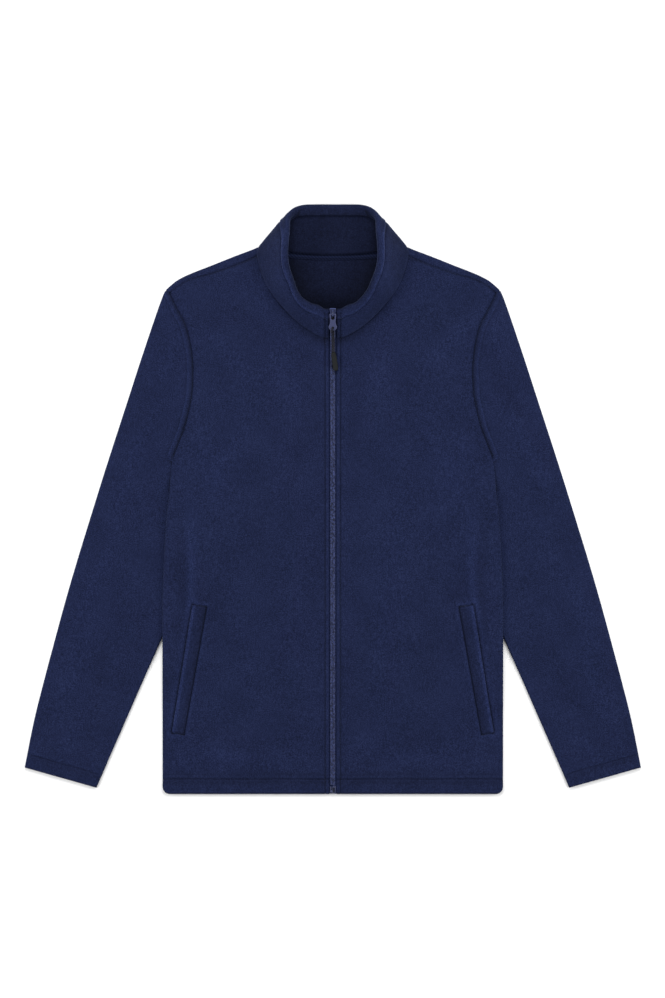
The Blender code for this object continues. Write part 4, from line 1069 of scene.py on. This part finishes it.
collarCut = {
    # where cloth meets cloth: out, up and height at the seam, the same at the top, bulge
    "line": ((0, 322.0, 2.58, 0, 384.7, 4.8, 0), (22, 322.2, 2.58, 20, 384.7, 5.2, 0),
             (45, 323.8, 2.58, 37, 384.4, 7.0, 0), (66, 326.6, 2.7, 47.5, 382.4, 11.2, 0.5),
             (84.2, 329.4, 3.4, 54.6, 377.8, 17.5, 1.3), (97.3, 328.9, 4.3, 60.2, 369.8, 27, 1.8),
             (97.4, 316.2, 4.0, 61.2, 352, 37, 3.2), (93.4, 301.5, 3.4, 62.8, 334, 43, 3),
             (86.3, 283.5, 3.4, 63, 315.5, 45, 3), (74.8, 266.4, 3.4, 59.5, 297.5, 44.5, 3),
             (60.3, 249.4, 3.4, 51, 280.5, 42.5, 3), (42.9, 233.0, 3.4, 40.3, 265.5, 39, 3),
             (26, 221.6, 3.4, 27.5, 254.8, 35, 2.5), (14, 215.4, 3.4, 15.5, 250, 32.5, 2),
             (5, 214.0, 3.4, 5, 248.2, 31.5, 2)),
    "ply": 1.46, "rimBand": 14.5, "innerFront": 15.5, "columns": 78, "innerRows": 20,
    # the rim's turn in degrees, then shares of the band that hangs inside
    "turns": (22, 45, 68, 90, 112, 135, 158, 180), "hangShares": (0.2, 0.4, 0.6, 0.8, 0.92, 1.0),
    # how far under the rim its topstitch runs, from the centre back round to the zip
    "topStitch": ((0, 0.34, 0.46, 0.72, 0.86, 1.0), (12.4, 12.0, 4.6, 4.2, 8.4, 9.6)),
    "shares": (0, 0.008, 0.02, 0.04, 0.07, 0.11, 0.17, 0.25, 0.34, 0.42, 0.49, 0.55, 0.59, 0.625, 0.66, 0.69, 0.715,
               0.74, 0.765, 0.79, 0.82, 0.85, 0.88, 0.905, 0.93, 0.955, 0.98),
    # the rim's small waves beside the zip, and the right half's own: out, how far they rise, half width
    "rimWaves": ((20.5, 2.4, 6.0), (10.5, -0.6, 3.0)), "rightWave": (43, -3.4, 9), "rimLow": 3.6,
    # relief from the topstitch, from the seam and from the zip's stitching
    "stitchRelief": ((1.0, -0.9, 1.1), (-1.6, 0.9, 1.6), (6, 0.25, 3)),
    "seamRelief": ((0, -0.15, 3.0), (6, 0.3, 4)), "zipRelief": ((0, -0.9, 1.2),),
    # how far the colour is darkened by pressed nap and painted shade, or lightened below 0 by painted highlight:
    # along the seam, where the collar folds back, and beside the zip; then painted shade under the rim's top and
    # painted light, both at the front
    "seamShading": ((0, 0.25, 0.9), (2.4, -0.25, 1.6)), "foldBackShading": ((0.38, 0.35, 0.07),),
    "zipShading": ((0, 1.0, 1.1), (-5, 0.6, 2.0)), "rimShading": ((0, 0.3, 1.6),), "frontLight": 0.32,
}
collarRun = smoothRun(collarCut["line"])


def collarBaseTop(s):
    row = collarRun(abs(s))
    way = np.array((-1 if s < 0 else 1, 1, 1))
    return row[:3] * way, row[3:6] * way, row[6]


def collarPoint(s, v):
    base, top, bulge = collarBaseTop(s)
    before, after = collarBaseTop(max(s - 0.004, -1)), collarBaseTop(min(s + 0.004, 1))
    roundWay = (after[0] + after[1] - before[0] - before[1]) / 2
    out = -np.cross(roundWay, top - base)
    out /= np.linalg.norm(out)
    return base + (top - base) * v + out * bulge * 4 * v * (1 - v)


def collarFrame(s, v):
    # a place between the collar's two layers, the way up the collar and the way out of it
    up = collarPoint(s, v + 0.01) - collarPoint(s, v - 0.01)
    out = -np.cross(collarPoint(min(s + 0.01, 1), v) - collarPoint(max(s - 0.01, -1), v), up)
    return collarPoint(s, v), up / np.linalg.norm(up), out / np.linalg.norm(out)


def collarHeight(s):
    base, top, _ = collarBaseTop(s)
    return np.linalg.norm(top - base)


def collarSpots():
    reach = next(s for s in np.linspace(1, 0.8, 401) if collarBaseTop(s)[0][0] > collarCut["innerFront"])
    even = np.linspace(0, reach, collarCut["columns"])
    return np.concatenate([even, reach + (1 - reach) * np.array((0.2, 0.4, 0.55, 0.7, 0.82, 0.92, 1.0))])


def signed(spots):
    return np.concatenate([-spots[:0:-1], spots])


def stitchDown(s):
    return float(np.interp(abs(s), *collarCut["topStitch"]))


def collarRelief(s, v, tall):
    # topstitching under the rim, a tucked seam, the zip's stitching and soft dents; out is positive
    made, away = collarCut, abs(s)
    fromTop, fromSeam = (1 - v) * tall, v * tall
    under = fromTop - stitchDown(s)
    fromZip = abs(collarBaseTop(s)[0][0] * (1 - v) + collarBaseTop(s)[1][0] * v) - front["zipStitch"]
    nearZip = away > 0.5
    rise = (ridges(under, made["stitchRelief"]) + ridges(fromSeam, made["seamRelief"])
            + ridges(fromZip, made["zipRelief"]) * nearZip)
    dents = 0.45 * math.sin(s * 9.0 + 2.2 * v) * math.sin(math.pi * v) + 0.3 * math.sin(s * 23.0 - 3 * v) * v
    atSide = eased((away - 0.36) / 0.08) * eased((0.98 - away) / 0.1)
    atFront = eased((away - 0.52) / 0.12)
    # painted highlight on the rim's ridge and painted shade beside it, stronger at the sides; painted light over
    # the front
    stitchShading = ((1.4, 0.3 + 0.3 * atSide, 1.2), (-1.3, -0.2 - 0.8 * atSide, 1.9), (4.5, 0.15, 3.0))
    pressed = (ridges(under, stitchShading) + ridges(fromSeam, made["seamShading"])
               + ridges(away, made["foldBackShading"]) + ridges(fromZip, made["zipShading"]) * nearZip
               + (ridges(fromTop, made["rimShading"]) - made["frontLight"]) * atFront)
    return rise + dents * float(eased((1 - away) / 0.05)), float(np.clip(pressed, *shadingRange))


def rimWave(s, v):
    # how far the rim's cloth is pushed up beside the zip
    out = abs(collarBaseTop(s)[1][0])
    waves = collarCut["rimWaves"] + ((collarCut["rightWave"],) if s < 0 else ())
    rise = sum(high * math.exp(-((out - at) / wide) ** 2) for at, high, wide in waves)
    low = collarCut["rimLow"] * float(eased((abs(s) - 0.68) / 0.1))
    return (rise * (abs(s) > 0.6) - low) * float(eased((v - 0.5) / 0.5))


def collarOuter():
    made, ply = collarCut, collarCut["ply"]
    turns = np.radians(made["turns"])
    hang = made["rimBand"] - 2 * ply - layers["wall"] / 2
    columns = []
    for s in signed(collarSpots()):
        tall = collarHeight(s)
        atBack, atFront = 1 - float(eased((abs(s) - 0.3) / 0.15)), float(eased((abs(s) - 0.6) / 0.15))
        turnedShading = 0.25 + 0.1 * atBack + 0.5 * atFront     # painted shade on the turned rim, darker towards the front
        line = []
        for v in made["shares"]:
            point, up, out = collarFrame(s, v)
            rise, pressed = collarRelief(s, v, tall)
            line.append((*(point + out * (ply + rise) + up * rimWave(s, v)), pressed))
        point, up, out = collarFrame(s, 1)
        point = point + up * rimWave(s, 1)
        for turn in turns:
            spot = point + out * ply * (2 * math.cos(turn) - 1) + up * 2 * ply * math.sin(turn)
            line.append((*spot, turnedShading * float(eased(turn / 2.2))))
        for down in np.array(made["hangShares"]) * hang:
            point, up, out = collarFrame(s, 1 - down / tall)
            tuck = 0.2 * math.exp(-((hang - down) / 1.2) ** 2)
            spot = point - out * (3 * ply - tuck) + up * rimWave(s, 1 - down / tall)
            # painted shade: a dark line where the rim turns the corner at the back, and the band darker towards its
            # lower edge
            corner = 0.55 * math.exp(-((abs(spot[0]) - 43.5 - 0.35 * down) / 1.6) ** 2) * (spot[1] > 362)
            edge = 0.1 * math.exp(-((hang - down) / 1.5) ** 2)
            line.append((*spot, min(1.0, turnedShading + corner + 0.22 * atBack * down / hang + edge)))
        columns.append(line)
    points = np.array(columns).transpose(1, 0, 2)
    piece = clothPiece("fleeceCollarOuter", points, layers["wall"], fleece, ("collar_outer",))


def collarInner():
    columns = []
    for s in signed(collarSpots()[:collarCut["columns"]]):
        foot = 0.012 + 0.04 * float(eased((abs(s) - 0.2) / 0.15))
        head = 1 - 0.5 / collarHeight(s)
        line = []
        for v in np.linspace(foot, head, collarCut["innerRows"]):
            point, up, out = collarFrame(s, v)
            sag = 0.35 * math.sin(s * 11.0 + 1.7) * math.sin(math.pi * v) * math.exp(-((v - 0.4) / 0.3) ** 2)
            spot = point + up * rimWave(s, v) - out * (collarCut["ply"] - sag * (sag > 0) * 0.5)
            # painted shade on the inner collar at its sides
            line.append((*spot, 0.1 + 0.5 * math.exp(-((abs(spot[0]) - 60) / 9) ** 2)))
        columns.append(line)
    points = np.array(columns).transpose(1, 0, 2)
    piece = clothPiece("fleeceCollarInner", points, layers["wall"], fleeceShadedInside, ("collar_inner",))


collarOuter()
collarInner()

neckTape = {
    "line": ((-88, 322.9), (-58, 321.7), (-25, 319.8), (0, 319.6), (25, 319.8), (58, 321.7), (88, 322.9)),
    "spots": 61, "wide": 7.8, "thick": 0.5, "lies": 2.62,
    # across the tape: share of its width, crown, and how dark, below 0 a painted highlight along one edge; both
    # edges are stitched down
    "rows": ((-0.5, 0, 0), (-0.44, 0.16, 0.1), (-0.36, 0.2, 0.5), (-0.29, -0.05, 0.9), (-0.22, 0.2, 0.3),
             (-0.1, 0.34, 0), (0.1, 0.34, 0), (0.22, 0.2, 0.3), (0.29, -0.05, 0.9), (0.36, 0.2, 0.5),
             (0.44, 0.16, -0.9), (0.5, 0, -0.9)),
}


def neckTapePiece():
    line = smoothRun(neckTape["line"])(np.linspace(0, 1, neckTape["spots"]))
    level = np.ones((len(line), 1))
    rows = [np.concatenate([sideways(line, share * neckTape["wide"]), level * (neckTape["lies"] + crown),
                            level * dark], 1) for share, crown, dark in neckTape["rows"]]
    clothPiece("neckTape", np.array(rows), neckTape["thick"], neckTapeCloth, ("neck_tape",))


neckTapePiece()
print("collar ready")


def pocketWelt(side):
    # a doubled strip: sewn down on the zip side and both ends, free along the side seam
    outerTop, innerTop, innerFoot, outerFoot = (np.array(p, float) for p in welt["corners"])
    long = np.linalg.norm(outerFoot - outerTop)
    wide = np.linalg.norm(innerTop - outerTop)
    ends = np.array(welt["ends"]) / long
    even = np.linspace(ends[-1], 1 - ends[-1], welt["rows"])[1:-1]
    t = np.concatenate([ends, even, 1 - ends[::-1]])[:, None, None]
    share = np.array(welt["columns"])[None, :, None]
    outerSide, innerSide = outerTop + (outerFoot - outerTop) * t, innerTop + (innerFoot - innerTop) * t
    plan = outerSide * (1 - share) + innerSide * share
    x, y = plan[..., 0], plan[..., 1]
    across, along = share[..., 0] * wide * np.ones_like(x), t[..., 0] * long * np.ones_like(x)
    fromInner, fromOuter, fromEnds = wide - across, across, np.minimum(along, long - along)
    rise = layers["gap"] + 0.2 + welt["thick"] / 2 + 0.5 * np.exp(-((fromOuter - 2.2) / 2.2) ** 2)
    rise = rise - 0.9 * np.exp(-fromOuter / 0.8) - 0.25 * np.sin(across / wide * math.pi)
    rise = rise + 0.12 * np.sin(along / 9.0 + side) * np.sin(across / wide * math.pi)
    hold = eased(np.minimum(fromInner, fromEnds) / 3.5)      # sunk at the sewn sides
    rise = rise + 0.8 * np.exp(-(fromOuter / 3.6) ** 2) * eased(fromEnds / 3)
    rise = rise - 0.55 * (1 - hold)
    height = frontHeight(x, y, side) + rise
    flatter = (1 - eased(fromInner / 2.2)) + (1 - eased(fromEnds / 2.2))
    height = height + 0.45 * np.clip(flatter, 0, 1)
    # the welt's seams pressed dark with painted shade, and a painted highlight along its free edge
    pressed = (ridges(fromInner, welt["innerShading"]) + ridges(fromEnds, welt["endShading"])
               + ridges(fromOuter, welt["outerShading"]))
    pressed = np.clip(pressed, *shadingRange)
    points = np.concatenate([plan, height[..., None], pressed[..., None]], -1)
    points[..., 0] *= side
    name = sideWord[side]
    piece = clothPiece("pocketWelt_" + name, points, welt["thick"], fleece,
                       ("pocket_welt_" + name,))


for side in sideWord:
    pocketWelt(side)
print("pockets ready")


zipper = {
    "tapeThick": 0.6, "tapeGap": 0.15, "bodySpots": 90,
    "tapeAt": (0.15, 1.2, 2.6, 4.0, 5.0, 8.0, 11.0, 14.0),     # columns, out from the centre
    "rise": 3.25, "chainThick": 2.6, "boxLong": 10.0, "sliderAt": 0.965, "sliderLong": 9.4,
    # one turn of the coil: how far apart, how thick, how long, how tall for its width, its lean in degrees
    "pitch": 1.5, "coil": 0.62, "taper": 0.82, "turnLong": 3.3, "turnTall": 1.55, "lean": 7,
    "turnAt": (1.62, 0.15),     # out from the centre and above the tape
    "sliderShadeFrom": 230, "sliderShadeFade": 4,
}


def zipLine(bodyCount, collarShares):
    # where tape meets cloth at the centre front, hem to collar: along and height
    up = np.linspace(outline["hem"], outline["frontNeck"][0][1] - 0.3, bodyCount)
    body = np.stack([up, np.full(bodyCount, zipper["rise"])], -1)
    return np.vstack([body, [collarPoint(1, v)[1:] for v in collarShares]])


def zipTape(side):
    # it lies under the front's edge, and from there on between the collar's two layers
    shares = np.linspace(0, 0.985, 16)
    bodyCount, lip, gap = zipper["bodySpots"], outline["lip"], zipper["tapeGap"] + zipper["tapeThick"] / 2
    reach = zipper["tapeAt"][-1] - lip
    centre = sideways(zipLine(bodyCount, shares), -gap)
    wide = collarSpots()[collarCut["columns"] - 1]
    part = reach / (collarBaseTop(wide)[0][0] - lip)
    rows = []
    for k, (y, z) in enumerate(centre):
        line = []
        for out in zipper["tapeAt"]:
            if out <= lip or k < bodyCount:
                line.append((out, y, z))
                continue
            point, _, way = collarFrame(wide, shares[k - bodyCount])
            atLip = np.array((lip, y, z))
            mixed = atLip * (1 - part) + (point - way * gap) * part
            line.append(atLip + (mixed - atLip) * (out - lip) / reach)
        rows.append(line)
    points = np.array(rows)
    points[..., 0] *= side
    name = sideWord[side]
    piece = clothPiece("zipTape_" + name, points, zipper["tapeThick"], tapeCloth,
                       ("zip_tape_" + name,))


for side in sideWord:
    zipTape(side)


def chainPath():
    line = sideways(zipLine(220, np.linspace(0, 0.98, 40)), 0.15 + zipper["chainThick"] / 2)
    foot, up, _ = collarFrame(1, zipper["sliderAt"])
    stop = foot[1] - up[1] * (zipper["sliderLong"] / 2 + 0.3)
    keep = (line[:, 0] > outline["hem"] + zipper["boxLong"] + 0.6) & (line[:, 0] < stop)
    return line[keep]


def zipTeeth():
    # two rows of coil turns, each turn leaning towards its neighbours
    line = chainPath()
    travelled = travelAlong(line)
    coil = bmesh.new()
    waxed = coil.verts.layers.float.new("waxed")
    out, above = zipper["turnAt"]
    lie = Matrix.Diagonal((1, 1, zipper["turnTall"], 1)) @ Matrix.Rotation(math.radians(90), 4, "Y")
    for k in range(int(travelled[-1] / zipper["pitch"])):
        for side in sideWord:
            at = (k + (0.25 if side > 0 else 0.75)) * zipper["pitch"]
            (y, ahead), (z, aheadZ) = (np.interp((at, at + 1), travelled, axis) for axis in line.T)
            turn = (Matrix.Rotation(math.atan2(aheadZ - z, ahead - y), 4, "X")
                    @ Matrix.Rotation(side * math.radians(zipper["lean"]), 4, "Z"))
            place = Matrix.Translation(Vector((side * out, y, z + above)) * mm) @ turn @ lie
            tooth = bmesh.ops.create_cone(coil, cap_ends=True, segments=8, radius1=zipper["coil"] * mm,
                                          radius2=zipper["coil"] * zipper["taper"] * mm,
                                          depth=zipper["turnLong"] * mm, matrix=place)
            for vertex in tooth["verts"]:
                # painted shade: the coil darkens just below the slider
                vertex[waxed] = float(eased((y - zipper["sliderShadeFrom"]) / zipper["sliderShadeFade"]))
    bmesh.ops.recalc_face_normals(coil, faces=coil.faces)
    finishPiece("zipCoil", meshFrom("zipCoil", coil), coilNylon, "jacket", ("zip_chain",))


zipTeeth()
print("zip ready")


puller = {
    "cordWide": 2.0, "cordLong": 0.074, "cordSpots": 40,
    "cord": ((-0.65, 194.1, 8.8), (-0.65, 201.1, 9.4), (-1.15, 218.1, 18.2), (-1.15, 220.0, 21.7),
             (-0.9, 222.4, 23.6), (-0.5, 224.7, 24.0), (0, 225.9, 23.2), (0.5, 226.2, 21.8), (0.9, 225.0, 19.8),
             (1.15, 222.7, 18.8), (1.15, 219.6, 17.8), (1.65, 201.1, 9.0), (1.65, 194.1, 8.8)),
}


def pullerCord(points):
    curve = bpy.data.curves.new("pullerCord", "CURVE")
    curve.dimensions = "3D"
    curve.bevel_depth = puller["cordWide"] / 2 * mm
    curve.bevel_resolution = 3
    curve.use_fill_caps = True
    spline = curve.splines.new("POLY")
    spline.points.add(len(points) - 1)
    for spot, point in zip(spline.points, points):
        spot.co = (*(Vector(point) * mm), 1)
    return finishPiece("pullerCord", curve, cordBraid, "puller", ("puller_cord",))


cordPoints = smoothRun(puller["cord"])(np.linspace(0, 1, puller["cordSpots"]))
loop = pullerCord(cordPoints)

for name, material in (("zip_slider", zincPaint), ("pull_tab", litZincPaint), ("puller_grip", gripTpu)):
    nodes[name].material_slots[0].material = material
print("puller ready")

# the retainer box at the zip's hem end, with the pin pushed into it: a dark body inside a raised rim, whose top and
# the pin take the lighter copy of the paint, a painted highlight
box = {
    "long": 9.2, "thick": 2.5, "fromHem": 0.2, "bevel": 0.26,
    "halves": ((1.35, 4.4), (-2.4, 2.3)),     # out from the centre, and width
    "rim": 0.9,
    # bars of the rim: out, along, and how much wider and longer than the rim is thick
    "rimAt": ((1.9, 3.9, 3.6, 0.0), (1.9, -3.9, 3.6, 0.0), (3.35, 0.0, 0.0, 8.6), (-3.2, 0.6, 0.0, 7.0)),
    "pinAt": (-1.7, -1.9), "pinWide": 1.35, "pinShape": (1, 1.1, 0.6, 1), "lightAbove": 0.08,
}


def retainerBox():
    made = bmesh.new()
    up = outline["hem"] + box["fromHem"] + box["long"] / 2
    low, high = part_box("zip_box")
    middle = (low[2] + high[2]) / 2 / mm
    for out, wide in box["halves"]:
        size = Matrix.Diagonal((wide, box["long"], box["thick"], 1))
        bmesh.ops.create_cube(made, size=mm, matrix=Matrix.Translation(Vector((out, up, middle)) * mm) @ size)
    top = middle + box["thick"] / 2
    for out, along, wide, long in box["rimAt"]:
        spot = Matrix.Translation(Vector((out, up + along, top)) * mm)
        size = Matrix.Diagonal((wide + box["rim"], long + box["rim"], box["rim"], 1))
        bmesh.ops.create_cube(made, size=mm, matrix=spot @ size)
    bmesh.ops.bevel(made, geom=made.edges[:], offset=box["bevel"] * mm, affect="EDGES", segments=2,
                    profile=0.5, material=-1)
    spot = Matrix.Translation(Vector((box["pinAt"][0], up + box["pinAt"][1], top)) * mm)
    bmesh.ops.create_uvsphere(made, u_segments=14, v_segments=8, radius=box["pinWide"] * mm,
                              matrix=spot @ Matrix.Diagonal(box["pinShape"]))
    # painted highlight: faces above the body's top take the lighter copy of the paint
    for face in made.faces:
        face.material_index = int(face.calc_center_median().z > (top + box["lightAbove"]) * mm)
    piece = finishPiece("retainerBox", meshFrom("retainerBox", made), zincPaint, "jacket",
                        ("zip_box",))
    piece.data.materials.append(litZincPaint)


retainerBox()


def frontLine(outs, ups, side):
    # a line of thread on the front's cloth
    outs, ups = np.broadcast_arrays(np.asarray(outs, float), np.asarray(ups, float))
    return np.stack([outs * side, ups, frontHeight(outs, ups, side) + stitch["rise"]], -1)


def onCollar(s, v):
    # a spot of thread on the collar's outer face
    point, up, out = collarFrame(s, v)
    above = collarCut["ply"] + stitch["rise"] + collarRelief(s, v, collarHeight(s))[0]
    return point + up * rimWave(s, v) + out * above


def sewing():
    sewn = list(cuffLines)
    hem, zipAt = outline["hem"], front["zipStitch"]
    for side in sideWord:
        sewn.append(frontLine(np.linspace(13, 219, 160), hem + front["hemStitch"], side))
        sewn.append(frontLine(zipAt, np.linspace(hem + 3, 209, 300), side))
    besideZip = next(s for s in np.linspace(1, 0.8, 801) if collarBaseTop(s)[0][0] > zipAt)
    upTo = 1 - (stitchDown(besideZip) + 2) / collarHeight(besideZip)
    for side in sideWord:
        sewn.append([onCollar(besideZip, v) * (side, 1, 1) for v in np.linspace(0.04, upTo, 30)])
    sewn.append([onCollar(s, 1 - (stitchDown(s) + 1.0) / collarHeight(s))
                 for s in np.linspace(-0.985, 0.985, 240)])
    stitchRow("topstitching", sewn)


sewing()
print("sewing ready")
